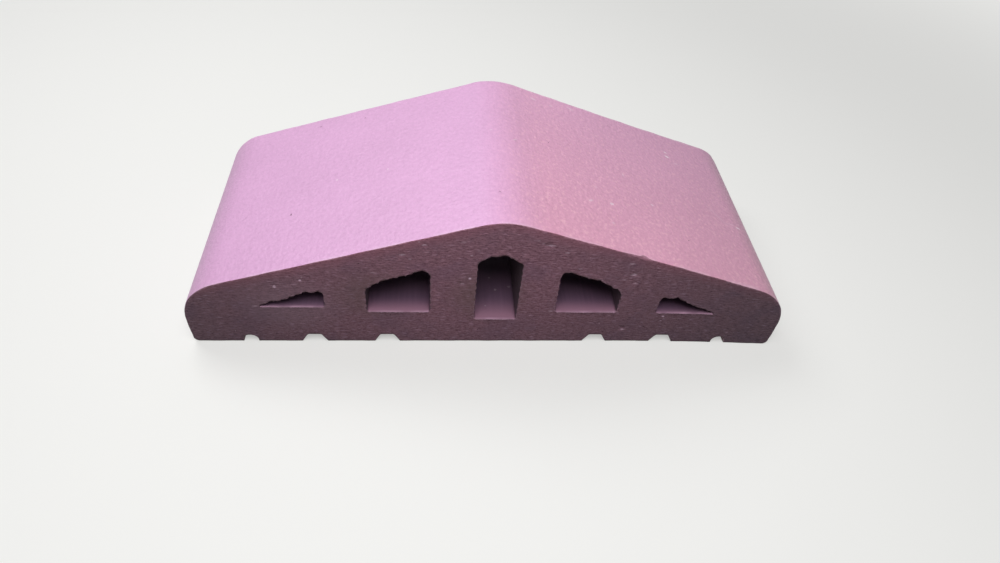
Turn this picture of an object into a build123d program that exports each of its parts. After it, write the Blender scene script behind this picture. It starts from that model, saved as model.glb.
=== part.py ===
from build123d import *
from math import cos, radians, tan
import os

# Double-pitched ceramic wall coping: one extruded and fired hollow tile.
# The section lies in XZ and the tile runs along Y, ridge upwards.
# The origin is the middle of the bedding face. Sizes are in millimetres.

# Outline of the section
tile_width = 310
tile_length = 120
ridge_height = 86
slope_angle = 18
ridge_radius = 36
eave_radius = 28
foot_radius = 3

# Clay left around the cells
roof_wall = 21.3
web = 21.2

# Centre cell, under the ridge
centre_cell_width = 22
centre_cell_floor = 18.5
centre_cell_apex_radius = 9
centre_cell_shoulder_radius = 1.5

# Side cells, one under each slope
side_cell_width = 32
side_cell_top_radius = 3.5

# Eave cells, wedges that run out under each eave, as high as this at their inner wall
eave_cell_height = 12.5
eave_cell_top_radius = 2
eave_cell_tip_radius = 1.6

# Floor corners of all the cells
cell_floor_radius = 1.5

# Mortar key grooves under the tile, in two pairs
key_groove_width = 13
key_groove_depth = 5.5
key_groove_flare = 30
key_groove_radius = 1.2
inner_key_offset = 56
outer_key_offset = 93.5

# Drip groove behind each eave
drip_groove_width = 7.5
drip_groove_depth = 5
drip_lip = 25

half_width = tile_width / 2
slope = tan(radians(slope_angle))

# The two roof planes meet above the rounded crest
roof_apex = ridge_height + ridge_radius * (1 / cos(radians(slope_angle)) - 1)
cell_apex = roof_apex - roof_wall / cos(radians(slope_angle))


def roof_line(x):
    """Height of the roof plane over a place across the tile."""
    return roof_apex - slope * abs(x)


def cell_ceiling(x):
    """Height of the cells' ceiling, which follows the roof at the wall's thickness."""
    return cell_apex - slope * abs(x)


# The side and eave cells stand in a row on one floor line, set by the eave cell's height
side_cell_start = centre_cell_width / 2 + web
eave_cell_start = side_cell_start + side_cell_width + web
outer_floor = cell_ceiling(eave_cell_start) - eave_cell_height


def rounded(points, radii):
    """A face with the given corners, each with its own radius, or sharp where that is 0."""
    corners = [Vector(x, z) for x, z in points]
    face = make_face(Polyline(*corners, close=True))
    for corner, radius in zip(corners, radii):
        if radius > 0:
            face = fillet(face.vertices().sort_by_distance(corner)[0], radius)
    return face


def outline():
    """The tile's outer section: flat foot, upright eaves, two slopes and a rounded ridge."""
    eave_corner = roof_line(half_width)
    points = [
        (-half_width, 0),
        (half_width, 0),
        (half_width, eave_corner),
        (0, roof_apex),
        (-half_width, eave_corner),
    ]
    radii = [foot_radius, foot_radius, eave_radius, ridge_radius, eave_radius]
    return rounded(points, radii)


def centre_cell():
    """The upright cell with a small gable that repeats the roof."""
    half_cell = centre_cell_width / 2
    shoulder = cell_ceiling(half_cell)
    points = [
        (-half_cell, centre_cell_floor),
        (half_cell, centre_cell_floor),
        (half_cell, shoulder),
        (0, cell_apex),
        (-half_cell, shoulder),
    ]
    radii = [
        cell_floor_radius,
        cell_floor_radius,
        centre_cell_shoulder_radius,
        centre_cell_apex_radius,
        centre_cell_shoulder_radius,
    ]
    return rounded(points, radii)


def side_cell():
    """The cell under the right slope, its ceiling parallel to the roof."""
    side_cell_end = side_cell_start + side_cell_width
    points = [
        (side_cell_start, outer_floor),
        (side_cell_end, outer_floor),
        (side_cell_end, cell_ceiling(side_cell_end)),
        (side_cell_start, cell_ceiling(side_cell_start)),
    ]
    radii = [
        cell_floor_radius,
        cell_floor_radius,
        side_cell_top_radius,
        side_cell_top_radius,
    ]
    return rounded(points, radii)


def eave_cell():
    """The wedge behind the right eave: floor and ceiling run together to a blunt tip."""
    tip = eave_cell_start + eave_cell_height / slope
    points = [
        (eave_cell_start, outer_floor),
        (tip, outer_floor),
        (eave_cell_start, outer_floor + eave_cell_height),
    ]
    radii = [cell_floor_radius, eave_cell_tip_radius, eave_cell_top_radius]
    return rounded(points, radii)


def key_groove(offset):
    """A mortar key under the tile: a flat-topped groove that flares to its mouth."""
    half_mouth = key_groove_width / 2
    half_top = half_mouth - key_groove_depth * tan(radians(key_groove_flare))
    points = [
        (offset - half_mouth, 0),
        (offset + half_mouth, 0),
        (offset + half_top, key_groove_depth),
        (offset - half_top, key_groove_depth),
    ]
    radii = [0, 0, key_groove_radius, key_groove_radius]
    return rounded(points, radii)


def drip_groove():
    """The round-topped groove that stops water from running in under the right eave."""
    radius = drip_groove_width / 2
    middle = half_width - drip_lip - radius
    straight = drip_groove_depth - radius
    throat = Pos(middle, straight / 2) * Rectangle(drip_groove_width, straight)
    crown = Pos(middle, straight) * Circle(radius)
    return throat + crown


def section():
    """The whole section, with cells and grooves on both sides of the ridge."""
    right = [
        side_cell(),
        eave_cell(),
        key_groove(inner_key_offset),
        key_groove(outer_key_offset),
        drip_groove(),
    ]
    left = [mirror(hollow, about=Plane.YZ) for hollow in right]
    face = outline() - centre_cell()
    for hollow in right + left:
        face = face - hollow
    return face


def coping_tile():
    """One tile, extruded along the ridge and cut square at both ends."""
    return extrude(Plane.XZ * section(), amount=tile_length / 2, both=True)


os.makedirs("parts", exist_ok=True)
export_step(coping_tile(), "parts/coping_tile.step")
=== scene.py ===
"""Hollow clay wall coping, dressed round its packed tile.

The tile is one extruded, wire-cut and fired piece. Its section is swept along the
ridge, and the two ends are dense faces that carry what the cutting wire left.
Lengths are in millimetres up to the meshes, which are in metres.
"""

import logging
import math
from dataclasses import dataclass
from enum import Enum

import bpy
import numpy as np
from bpy.types import ID, Material, Mesh, Node, NodeSocket, NodeTree, Object, World
from mathutils import Matrix, Vector
from mathutils.geometry import delaunay_2d_cdt
from mathutils.kdtree import KDTree


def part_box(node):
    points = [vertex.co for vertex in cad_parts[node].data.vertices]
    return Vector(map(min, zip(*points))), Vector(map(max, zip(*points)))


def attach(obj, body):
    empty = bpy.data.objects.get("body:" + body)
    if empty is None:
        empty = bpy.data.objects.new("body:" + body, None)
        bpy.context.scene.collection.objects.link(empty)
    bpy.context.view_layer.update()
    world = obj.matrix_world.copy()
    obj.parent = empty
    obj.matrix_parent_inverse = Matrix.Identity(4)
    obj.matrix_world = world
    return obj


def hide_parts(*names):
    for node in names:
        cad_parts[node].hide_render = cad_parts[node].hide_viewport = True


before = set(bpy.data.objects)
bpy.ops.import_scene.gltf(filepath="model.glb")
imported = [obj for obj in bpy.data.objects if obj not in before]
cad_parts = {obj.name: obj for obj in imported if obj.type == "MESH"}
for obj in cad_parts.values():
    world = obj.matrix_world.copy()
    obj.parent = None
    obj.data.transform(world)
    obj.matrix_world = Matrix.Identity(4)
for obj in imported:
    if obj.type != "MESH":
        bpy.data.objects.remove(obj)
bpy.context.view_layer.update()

LOG = logging.getLogger("wall_coping")
CAD_NODE = "coping_tile"
BODY = "root"
MM = 0.001

# Outline places nearer than this are one, in mm, and a shorter direction has no length
SAME_PLACE = 1e-6
NO_LENGTH = 1e-12

# How deep a mark goes, in mm, where it shows at any height of the face that it lies on
THROUGH = 400.0

Colour = tuple[float, float, float, float]
Sockets = dict[str, NodeSocket]


class TileEnd(Enum):
    """One end of the tile, by the side of the middle on which it lies."""

    FRONT = -1
    BACK = 1

    def stored(self, what: str) -> str:
        """The name under which the meshes store something of this end."""
        return f"{self.name.lower()}_{what}"


class Coat(Enum):
    """How a coat of colour lies on what is under it."""

    COVERS = "MIX"
    TINTS = "MULTIPLY"


def linear(hex_colour: str) -> Colour:
    """Turns an sRGB hex colour to linear light.

    Args:
        hex_colour: Six hex digits, such as "c8a0b4".

    Returns:
        Linear red, green and blue with an alpha of 1.
    """
    channels = [int(hex_colour[i : i + 2], 16) / 255 for i in (0, 2, 4)]
    light = [c / 12.92 if c <= 0.04045 else ((c + 0.055) / 1.055) ** 2.4 for c in channels]
    return (*light, 1.0)


def add_node(
    tree: NodeTree, kind: str, inputs: dict | None = None, out: int | str = 0, **settings: object
) -> NodeSocket | Node:
    """Adds a node with its settings, values and links.

    Args:
        tree: The node tree that takes the node.
        kind: The node's type name.
        inputs: Input sockets by name or number, each with a value or the socket that feeds it.
        out: The output to return, by name or number.
        **settings: Properties of the node itself.

    Returns:
        The chosen output socket, or the node where it has no outputs.
    """
    node = tree.nodes.new(kind)
    for name, value in settings.items():
        setattr(node, name, value)
    for key, value in (inputs or {}).items():
        if isinstance(value, NodeSocket):
            tree.links.new(value, node.inputs[key])
        else:
            node.inputs[key].default_value = value
    return node.outputs[out] if len(node.outputs) else node


def bare_tree(owner: Material | World) -> NodeTree:
    """Turns a material's or the world's nodes on and clears them.

    Args:
        owner: The material or the world.

    Returns:
        Its empty node tree.
    """
    owner.use_nodes = True
    owner.node_tree.nodes.clear()
    return owner.node_tree


def add_object(name: str, data: ID) -> Object:
    """Puts a mesh, camera or lamp in the scene as an object at the origin.

    Args:
        name: The object's name.
        data: The mesh, camera or lamp.

    Returns:
        The object.
    """
    thing = bpy.data.objects.new(name, data)
    bpy.context.scene.collection.objects.link(thing)
    return thing


def set_attribute(mesh: Mesh, name: str, kind: str, domain: str, values: np.ndarray) -> None:
    """Stores one value for each point or face of a mesh.

    Args:
        mesh: The mesh.
        name: The attribute's name.
        kind: FLOAT, FLOAT_VECTOR or BOOLEAN.
        domain: POINT or FACE.
        values: The values, one row for each element.
    """
    attribute = mesh.attributes.new(name, kind, domain)
    attribute.data.foreach_set("vector" if kind == "FLOAT_VECTOR" else "value", np.ravel(values))


def unit(vectors: np.ndarray) -> np.ndarray:
    """Vectors of the same directions and length 1."""
    return vectors / np.maximum(np.linalg.norm(vectors, axis=-1, keepdims=True), NO_LENGTH)


def ramp(values: np.ndarray, start: float, end: float) -> np.ndarray:
    """A straight rise from 0 at the start to 1 at the end, level beyond both."""
    return np.clip((values - start) / (end - start), 0, 1)


def easing(share: np.ndarray) -> np.ndarray:
    """A smooth fall from 1 at 0 to 0 at 1 and beyond."""
    rest = 1 - np.clip(share, 0, 1)
    return rest * rest * (3 - 2 * rest)


def wave_noise(along: np.ndarray, rng: np.random.Generator, longest: float, octaves: int = 4) -> np.ndarray:
    """Smooth random waves along an edge, from about -1 to 1.

    Args:
        along: Places along the edge, in mm.
        rng: The seeded random source.
        longest: The longest wave, in mm.
        octaves: How many waves are added, each half as long and half as high as the last.

    Returns:
        One value for each place.
    """
    usual_peak = 1.5
    total = np.zeros(len(along))
    for octave in range(octaves):
        phase = rng.uniform(0, 2 * math.pi)
        total += np.sin(2 * math.pi * along * 2**octave / longest + phase) / 2**octave
    return total / usual_peak


def search_tree(places: np.ndarray) -> KDTree:
    """Makes a search tree of places in the section.

    Args:
        places: Places across and up, in mm, one in each row.

    Returns:
        The tree, which knows each place by the number of its row.
    """
    tree = KDTree(len(places))
    for index, (x, z) in enumerate(places):
        tree.insert((x, z, 0), index)
    tree.balance()
    return tree


@dataclass(frozen=True)
class Corner:
    """A corner of an outline: its place, the radius that rounds it and the run that leaves it.

    Args:
        x: Place across the tile, in mm.
        z: Height above the bedding face, in mm.
        radius: The radius that rounds the corner, in mm.
        step: The longest step on the run to the next corner, or 0 for the usual one.
    """

    x: float
    z: float
    radius: float = 0.0
    step: float = 0.0


@dataclass
class Loop:
    """A closed outline in the section, anticlockwise seen from the front.

    Args:
        points: Places across (x) and up (z), in mm.
        hollow: True for a cell, False for the tile's own outline.
        name: Which outline it is.
    """

    points: np.ndarray
    hollow: bool
    name: str

    def outward(self) -> np.ndarray:
        """Unit directions out of the clay.

        Returns:
            One direction across and up for each point.
        """
        along = unit(np.roll(self.points, -1, axis=0) - np.roll(self.points, 1, axis=0))
        right_of_travel = np.stack([along[:, 1], -along[:, 0]], axis=1)
        return -right_of_travel if self.hollow else right_of_travel

    def mirrored(self, name: str) -> "Loop":
        """The same outline on the other side of the ridge."""
        return Loop(self.points[::-1] * [-1, 1], self.hollow, name)


def wire_of(loops: list[Loop]) -> tuple[np.ndarray, list[slice], list[tuple[int, int]]]:
    """Puts the outlines one after another.

    Args:
        loops: The section's outlines.

    Returns:
        All their points, where each outline lies among them, and the edges that close each one.
    """
    points = np.concatenate([loop.points for loop in loops])
    ends = np.cumsum([len(loop.points) for loop in loops]).tolist()
    runs = [slice(end - len(loop.points), end) for loop, end in zip(loops, ends)]
    edges = []
    for run in runs:
        edges += [(i, i + 1 if i + 1 < run.stop else run.start) for i in range(run.start, run.stop)]
    return points, runs, edges


def arc_points(
    before: np.ndarray, corner: Corner, after: np.ndarray, fine: float, coarse: float, steps: int = 8
) -> np.ndarray:
    """The arc that rounds one corner, or the corner alone where it is sharp.

    Args:
        before: The place of the corner before it, in mm.
        corner: The corner.
        after: The place of the corner after it, in mm.
        fine: The shortest of the longest steps, in mm.
        coarse: The longest step, in mm.
        steps: How many steps an arc has where they lie between those two.

    Returns:
        The arc's points.
    """
    here = np.array((corner.x, corner.z))
    arriving = unit(here - before)
    leaving = unit(after - here)
    turn = math.atan2(arriving[0] * leaving[1] - arriving[1] * leaving[0], arriving @ leaving)
    left_of_travel = np.array([-arriving[1], arriving[0]]) * math.copysign(1, turn)
    start = here - arriving * corner.radius * math.tan(abs(turn) / 2)
    centre = start + left_of_travel * corner.radius
    length = corner.radius * abs(turn)
    count = max(1, math.ceil(length / min(coarse, max(fine, length / steps))))
    angles = np.linspace(0, turn, count + 1 if corner.radius else 1)
    spoke = start - centre
    x = centre[0] + spoke[0] * np.cos(angles) - spoke[1] * np.sin(angles)
    z = centre[1] + spoke[0] * np.sin(angles) + spoke[1] * np.cos(angles)
    return np.stack([x, z], axis=1)


def rounded(corners: list[Corner], fine: float, coarse: float) -> np.ndarray:
    """An outline through the corners, with arcs where they have a radius.

    Args:
        corners: The corners, anticlockwise.
        fine: The longest step on a small arc, in mm.
        coarse: The longest step on a straight run, in mm.

    Returns:
        The outline's points.
    """
    places = np.array([(c.x, c.z) for c in corners])
    neighbours = zip(np.roll(places, 1, axis=0), corners, np.roll(places, -1, axis=0))
    arcs = [arc_points(before, corner, after, fine, coarse) for before, corner, after in neighbours]
    outline = []
    for corner, arc, following in zip(corners, arcs, arcs[1:] + arcs[:1]):
        outline.append(arc)
        gap = np.linalg.norm(following[0] - arc[-1])
        count = math.ceil(gap / (corner.step or coarse))
        shares = np.arange(1, count)[:, None] / max(count, 1)
        outline.append(arc[-1] + (following[0] - arc[-1]) * shares)
    points = np.concatenate(outline)
    return points[np.linalg.norm(points - np.roll(points, 1, axis=0), axis=1) > SAME_PLACE]


@dataclass(frozen=True)
class CoreSet:
    """How far one of the die's cores sat out of line, in mm.

    Args:
        inner: Shift of the wall nearer the ridge, away from the ridge.
        outer: Shift of the wall or tip nearer the eave, away from the ridge.
        floor: Shift of the floor, upwards.
    """

    inner: float = 0.0
    outer: float = 0.0
    floor: float = 0.0


@dataclass
class CopingSection:
    """The extruded section: outline, five cells and the grooves underneath.

    The cores hung a little out of line in the die, so the cells aren't quite alike.
    Sizes are in mm, and angles in degrees.
    """

    width: float
    height: float
    slope_angle: float = 18.0
    ridge_radius: float = 36.0
    eave_radius: float = 28.0
    foot_radius: float = 3.0

    # Clay left around the cells
    roof_wall: float = 21.3
    web: float = 21.2

    # Cells
    centre_cell_width: float = 22.0
    centre_cell_floor: float = 18.5
    centre_cell_apex_radius: float = 9.0
    centre_cell_shoulder_radius: float = 1.5
    side_cell_width: float = 32.0
    side_cell_top_radius: float = 3.5
    eave_cell_height: float = 12.5
    eave_cell_top_radius: float = 2.0
    eave_cell_tip_radius: float = 0.3
    cell_floor_radius: float = 1.5

    # Mortar keys and drip grooves in the foot
    key_groove_width: float = 13.0
    key_groove_depth: float = 5.5
    key_groove_flare: float = 30.0
    key_groove_radius: float = 1.2
    key_offsets: tuple[float, float] = (56.0, 93.5)
    drip_groove_width: float = 7.5
    drip_groove_depth: float = 5.0
    drip_lip: float = 25.0

    # How far the die's cores sat out of line
    centre_core: CoreSet = CoreSet(floor=0.2)
    left_side_core: CoreSet = CoreSet(inner=1.3, outer=1.2, floor=-1.0)
    right_side_core: CoreSet = CoreSet(inner=-1.3, outer=-0.5, floor=-0.7)
    left_eave_core: CoreSet = CoreSet(inner=0.3, outer=2.4, floor=2.4)
    right_eave_core: CoreSet = CoreSet(inner=-0.4, outer=-9.0, floor=-0.9)

    # The longest steps along the outlines
    flat_step: float = 1.7
    floor_step: float = 1.0
    wall_step: float = 0.6
    torn_step: float = 0.32
    arc_step: float = 0.4

    @property
    def slope(self) -> float:
        """The roof's fall for each millimetre across."""
        return math.tan(math.radians(self.slope_angle))

    @property
    def roof_apex(self) -> float:
        """Where the two roof planes would meet."""
        return self.height + self.ridge_radius * (1 / math.cos(math.radians(self.slope_angle)) - 1)

    @property
    def cell_apex(self) -> float:
        """Where the two ceiling planes meet."""
        return self.roof_apex - self.roof_wall / math.cos(math.radians(self.slope_angle))

    @property
    def eave_cell_start(self) -> float:
        """Where the eave cell's upright wall stands."""
        return self.centre_cell_width / 2 + self.web + self.side_cell_width + self.web

    @property
    def outer_floor(self) -> float:
        """The floor line of the side and eave cells."""
        return self.ceiling(self.eave_cell_start) - self.eave_cell_height

    @property
    def key_groove_top(self) -> float:
        """The width of a mortar key at its flat top."""
        flare = math.tan(math.radians(self.key_groove_flare))
        return self.key_groove_width - 2 * self.key_groove_depth * flare

    def ceiling(self, x: float | np.ndarray) -> float | np.ndarray:
        """Height of the cells' ceiling over one or more places across the tile."""
        return self.cell_apex - self.slope * abs(x)

    def groove(self, middle: float, mouth: float, top: float, depth: float, radius: float) -> list[Corner]:
        """One groove in the foot.

        Args:
            middle: Its middle across the tile, in mm.
            mouth: Its width in the bedding face, in mm.
            top: Its width at its top, in mm.
            depth: How deep it is, in mm.
            radius: The radius of its upper corners, in mm.

        Returns:
            Its corners, from left to right.
        """
        return [
            Corner(middle - mouth / 2, 0),
            Corner(middle - top / 2, depth, radius),
            Corner(middle + top / 2, depth, radius),
            Corner(middle + mouth / 2, 0),
        ]

    def outline(self) -> Loop:
        """The outer outline, with the mortar keys and drip grooves in its foot.

        Returns:
            The tile's own outline.
        """
        half = self.width / 2
        drip_radius = self.drip_groove_width / 2
        drip_offset = half - self.drip_lip - drip_radius
        key = (self.key_groove_width, self.key_groove_top, self.key_groove_depth, self.key_groove_radius)
        drip = (self.drip_groove_width, self.drip_groove_width, self.drip_groove_depth, drip_radius)
        grooves = {}
        for side in (-1, 1):
            grooves |= {side * offset: key for offset in self.key_offsets}
            grooves[side * drip_offset] = drip
        eave = self.roof_apex - self.slope * half
        corners = [Corner(-half, 0, self.foot_radius)]
        for middle in sorted(grooves):
            corners += self.groove(middle, *grooves[middle])
        corners += [
            Corner(half, 0, self.foot_radius),
            Corner(half, eave, self.eave_radius),
            Corner(0, self.roof_apex, self.ridge_radius),
            Corner(-half, eave, self.eave_radius),
        ]
        return Loop(rounded(corners, self.arc_step, self.flat_step), False, "outline")

    def centre_cell(self) -> Loop:
        """The upright cell under the ridge, with a small gable that repeats the roof.

        Returns:
            The cell's outline.
        """
        half = self.centre_cell_width / 2
        floor = self.centre_cell_floor + self.centre_core.floor
        floor_radius = self.cell_floor_radius
        shoulder = self.ceiling(half)
        corners = [
            Corner(-half, floor, floor_radius, self.floor_step),
            Corner(half, floor, floor_radius, self.wall_step),
            Corner(half, shoulder, self.centre_cell_shoulder_radius, self.torn_step),
            Corner(0, self.cell_apex, self.centre_cell_apex_radius, self.torn_step),
            Corner(-half, shoulder, self.centre_cell_shoulder_radius, self.wall_step),
        ]
        return Loop(rounded(corners, self.arc_step, self.floor_step), True, "centre_cell")

    def side_cell(self, core: CoreSet) -> Loop:
        """The cell under the right slope, its ceiling parallel to the roof.

        Args:
            core: How far its core sat out of line.

        Returns:
            The cell's outline, on the right of the ridge.
        """
        nominal = self.centre_cell_width / 2 + self.web
        start = nominal + core.inner
        end = nominal + self.side_cell_width + core.outer
        floor = self.outer_floor + core.floor
        corners = [
            Corner(start, floor, self.cell_floor_radius, self.floor_step),
            Corner(end, floor, self.cell_floor_radius, self.wall_step),
            Corner(end, self.ceiling(end), self.side_cell_top_radius, self.torn_step),
            Corner(start, self.ceiling(start), self.side_cell_top_radius, self.wall_step),
        ]
        return Loop(rounded(corners, self.arc_step, self.floor_step), True, "right_side_cell")

    def eave_cell(self, core: CoreSet) -> Loop:
        """The wedge behind the right eave, which runs out to a thin tip.

        Args:
            core: How far its core sat out of line.

        Returns:
            The cell's outline, on the right of the ridge.
        """
        start = self.eave_cell_start + core.inner
        floor = self.outer_floor + core.floor
        tip = start + (self.ceiling(start) - floor) / self.slope + core.outer
        corners = [
            Corner(start, floor, self.cell_floor_radius, self.floor_step),
            Corner(tip, floor, self.eave_cell_tip_radius, self.torn_step),
            Corner(start, self.ceiling(start), self.eave_cell_top_radius, self.wall_step),
        ]
        return Loop(rounded(corners, self.arc_step, self.floor_step), True, "right_eave_cell")

    def loops(self) -> list[Loop]:
        """Every outline of the section.

        Returns:
            The tile's own outline, then the five cells'.
        """
        return [
            self.outline(),
            self.centre_cell(),
            self.side_cell(self.right_side_core),
            self.eave_cell(self.right_eave_core),
            self.side_cell(self.left_side_core).mirrored("left_side_cell"),
            self.eave_cell(self.left_eave_core).mirrored("left_eave_cell"),
        ]


@dataclass(frozen=True)
class Tear:
    """How the wire left one cell's ceiling as it came down into the cell.

    Args:
        drawn: Places across the cell, from its end nearer the ridge or the centre cell's left
            wall, each with how far the ceiling's edge is drawn up there, in mm.
        bite: The depth of the small bites between the teeth, in mm.
        wall: How far the top of the wall at that end is drawn out of line, in mm.
    """

    drawn: tuple[tuple[float, float], ...]
    bite: float
    wall: float = 0.0


@dataclass
class EndShift:
    """How one end's outline departs from the clean section, point by point, in mm.

    Args:
        across: The shift in x and z.
        lip: How far the edge stands out of the cut plane.
        fade: How deep the shift runs in before it is gone.
        wear: From 0 to 1, how pale the edge is, by wear and by painted highlights on lips and rims.
    """

    across: np.ndarray
    lip: np.ndarray
    fade: np.ndarray
    wear: np.ndarray


@dataclass(frozen=True)
class Chip:
    """A small piece broken out of the arris over a slope before the firing, in mm.

    Args:
        x: Its middle, across the tile.
        width: How wide it is.
        down: How far it eats down into the cut face.
        back: How far it eats back into the slope.
    """

    x: float
    width: float
    down: float
    back: float


@dataclass
class WireCut:
    """The marks of a taut wire that came down through the stiff clay at one end.

    The wire leaves teeth and bites along each ceiling, where the clay under it gave way,
    and pushes a thin lip out over each floor that it enters. Towards one side it swung
    out a little, so the cut isn't quite square. The lips and rims carry painted highlights.
    Sizes are in mm, and wear and painted highlights go from 0 to 1.
    """

    end: TileEnd
    seed: int
    tears: dict[str, Tear]
    chips: tuple[Chip, ...] = ()

    # From where to where a wall turns into a ceiling or a floor, by how far it faces down or up
    ceiling_facing: tuple[float, float] = (0.5, 0.8)
    floor_facing: tuple[float, float] = (0.8, 0.95)

    # The bites between the teeth, narrow and wide ones, with their shares of the depth
    bite_widths: tuple[tuple[float, float], ...] = ((0.7, 2.0), (1.8, 4.5))
    bite_shares: tuple[float, ...] = (1.0, 0.8)
    bite_depths: tuple[float, float] = (0.15, 1.0)
    bite_leans: tuple[float, float] = (0.6, 1.7)
    bite_roundness: float = 2.2
    bite_room: float = 2.0

    # How deep the tears run in, and how they follow the height of a cell
    tear_reach: float = 1.6
    tear_least: float = 0.35
    drawn_reach: float = 8.0
    drawn_down: float = 0.7
    least_room: float = 0.3
    first_wall: float = 4.0
    wall_ragging: float = 0.22
    ragging_wave: float = 4.5

    # The rim that stands out along a ceiling, and the lip over a floor, with painted highlights on both
    rim_out: float = 0.3
    rim_share: float = 0.35
    rim_wave: float = 6.0
    lip_out: float = 0.5
    lip_up: float = 0.25
    lip_reach: float = 0.55
    lip_share: float = 0.75
    lip_swing: float = 0.5
    lip_least: float = 0.2
    lip_wave: float = 17.0
    lip_highlight: float = 1.0
    rim_highlight: float = 0.75
    wall_wear: float = 0.4

    # The arris round the tile's own outline
    arris_wear: float = 0.16
    arris_swing: float = 0.7
    arris_least: float = 0.2
    arris_wave: float = 23.0
    arris_octaves: int = 5
    arris_reach: float = 0.8
    arris_paling: float = 0.25
    paling_share: float = 0.5
    paling_wave: float = 31.0
    chip_facing: float = 0.5
    chip_roundness: float = 2.5
    chip_paling: float = 0.1

    # How far the wire swung out, and from where across the tile
    swing: float = 2.2
    swing_start: float = 62.0

    def bites(self, along: np.ndarray, rng: np.random.Generator) -> np.ndarray:
        """The bites along a torn edge, with teeth between them.

        Args:
            along: Places along the edge, in mm from its start.
            rng: The seeded random source.

        Returns:
            Depths from 0 to about 1.
        """
        total = np.zeros(len(along))
        for (narrow, wide), share in zip(self.bite_widths, self.bite_shares):
            widths = rng.uniform(narrow, wide, size=int((along.max() + wide) / narrow) + 2)
            ends = np.cumsum(widths)
            depths = rng.uniform(*self.bite_depths, size=len(widths))
            leans = rng.uniform(*self.bite_leans, size=len(widths))
            index = np.searchsorted(ends, along)
            place = np.clip(1 - (ends[index] - along) / widths[index], 0, 1) ** leans[index]
            total += share * depths[index] * (1 - np.abs(2 * place - 1) ** self.bite_roundness)
        return total / sum(self.bite_shares)

    def drift(self, x: np.ndarray, half_width: float) -> np.ndarray:
        """How far the cut stands out of square over places across the tile, in mm."""
        return self.swing * ramp(x, self.swing_start, half_width) ** 2

    def headroom(self, x: np.ndarray, above: np.ndarray, ceiling: np.ndarray) -> np.ndarray:
        """The cell's height over its floor at each place across.

        Args:
            x: Places across the tile, in mm.
            above: Heights of the outline's points over the floor, in mm.
            ceiling: Which of the points are on the ceiling.

        Returns:
            The height under the ceiling at each place, in mm.
        """
        order = np.argsort(x[ceiling])
        return np.maximum(np.interp(x, x[ceiling][order], above[ceiling][order]), self.least_room)

    def drawn_up(self, tear: Tear, across: np.ndarray, above: np.ndarray, room: np.ndarray) -> np.ndarray:
        """How far the wire drew a cell's walls and ceiling up.

        Args:
            tear: How the wire left the cell's ceiling.
            across: Places from the end of the cell where the tear starts, in mm.
            above: Heights over the cell's floor, in mm.
            room: The cell's height at each place, in mm.

        Returns:
            The rise at each place, in mm, and below 0 where the clay came down.
        """
        places, heights = np.array(tear.drawn).T
        drawn = np.interp(across, places, heights) * np.clip(above / room, 0, 1)
        return np.maximum(drawn, -self.drawn_down * above)

    def on_cell(self, loop: Loop, rng: np.random.Generator) -> EndShift:
        """The torn ceiling, ragged walls and floor lip of one cell.

        Args:
            loop: The cell's outline.
            rng: The seeded random source.

        Returns:
            The shift of each point of the outline.
        """
        tear = self.tears[loop.name]
        out = loop.outward()
        x, z = loop.points.T
        above = z - z.min()
        ceiling = ramp(-out[:, 1], *self.ceiling_facing)
        floor = ramp(out[:, 1], *self.floor_facing)
        across = x if loop.name == "centre_cell" else np.abs(x)
        across = across - across.min()
        room = self.headroom(x, above, ceiling > 0)
        drawn = self.drawn_up(tear, across, above, room)
        bite = ceiling * tear.bite * self.bites(x - x.min(), rng) * ramp(room, 0, self.bite_room)
        ragged = wave_noise(loop.points.sum(axis=1), rng, self.ragging_wave)
        into_clay = -out * (bite + (1 - floor) * self.wall_ragging * ragged)[:, None]
        lip = self.lip_share + self.lip_swing * wave_noise(x, rng, self.lip_wave)
        lip = floor * np.maximum(lip, self.lip_least)
        raised = np.clip(self.rim_share + wave_noise(x + z, rng, self.rim_wave), 0, 1)
        sideways = tear.wall * ramp(across, self.first_wall, 0) * above / above.max() * np.sign(x.mean())
        depth = np.where(np.abs(drawn) > bite, self.drawn_reach, self.tear_reach * (self.tear_least + bite))
        # Pale painted highlights along the raised rims, walls and floor lip, where light would catch them
        rim_highlight = (self.rim_highlight * ceiling + self.wall_wear * (1 - ceiling) * (1 - floor)) * raised
        return EndShift(
            across=into_clay + np.column_stack([sideways, drawn + self.lip_up * lip]),
            lip=self.lip_out * lip + self.rim_out * ceiling * raised,
            fade=np.where(floor > 0, self.lip_reach, depth),
            wear=np.maximum(self.lip_highlight * lip, rim_highlight),
        )

    def on_outline(self, loop: Loop, rng: np.random.Generator) -> EndShift:
        """The slightly worn arris round the tile's own outline.

        Args:
            loop: The tile's outline.
            rng: The seeded random source.

        Returns:
            The shift of each point of the outline.
        """
        run = np.cumsum(np.linalg.norm(np.diff(loop.points, axis=0, prepend=loop.points[-1:]), axis=1))
        worn = 1 + self.arris_swing * wave_noise(run, rng, self.arris_wave, self.arris_octaves)
        wear = self.arris_wear * np.maximum(worn, self.arris_least)
        rubbed_and_highlit = self.paling_share + wave_noise(run, rng, self.paling_wave)
        paling = self.arris_paling * np.clip(rubbed_and_highlit, 0, 1)
        out = loop.outward()
        level = np.zeros(len(run))
        fade = level + self.arris_reach
        for chip in self.chips:
            away = np.abs(2 * (loop.points[:, 0] - chip.x) / chip.width)
            share = np.clip(1 - away**self.chip_roundness, 0, 1) * (out[:, 1] > self.chip_facing)
            wear = wear + chip.down * share
            level = level - chip.back * share
            fade = fade + chip.back * share
            paling = np.maximum(paling, self.chip_paling * share)
        return EndShift(-out * wear[:, None], level, fade, paling)

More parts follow.
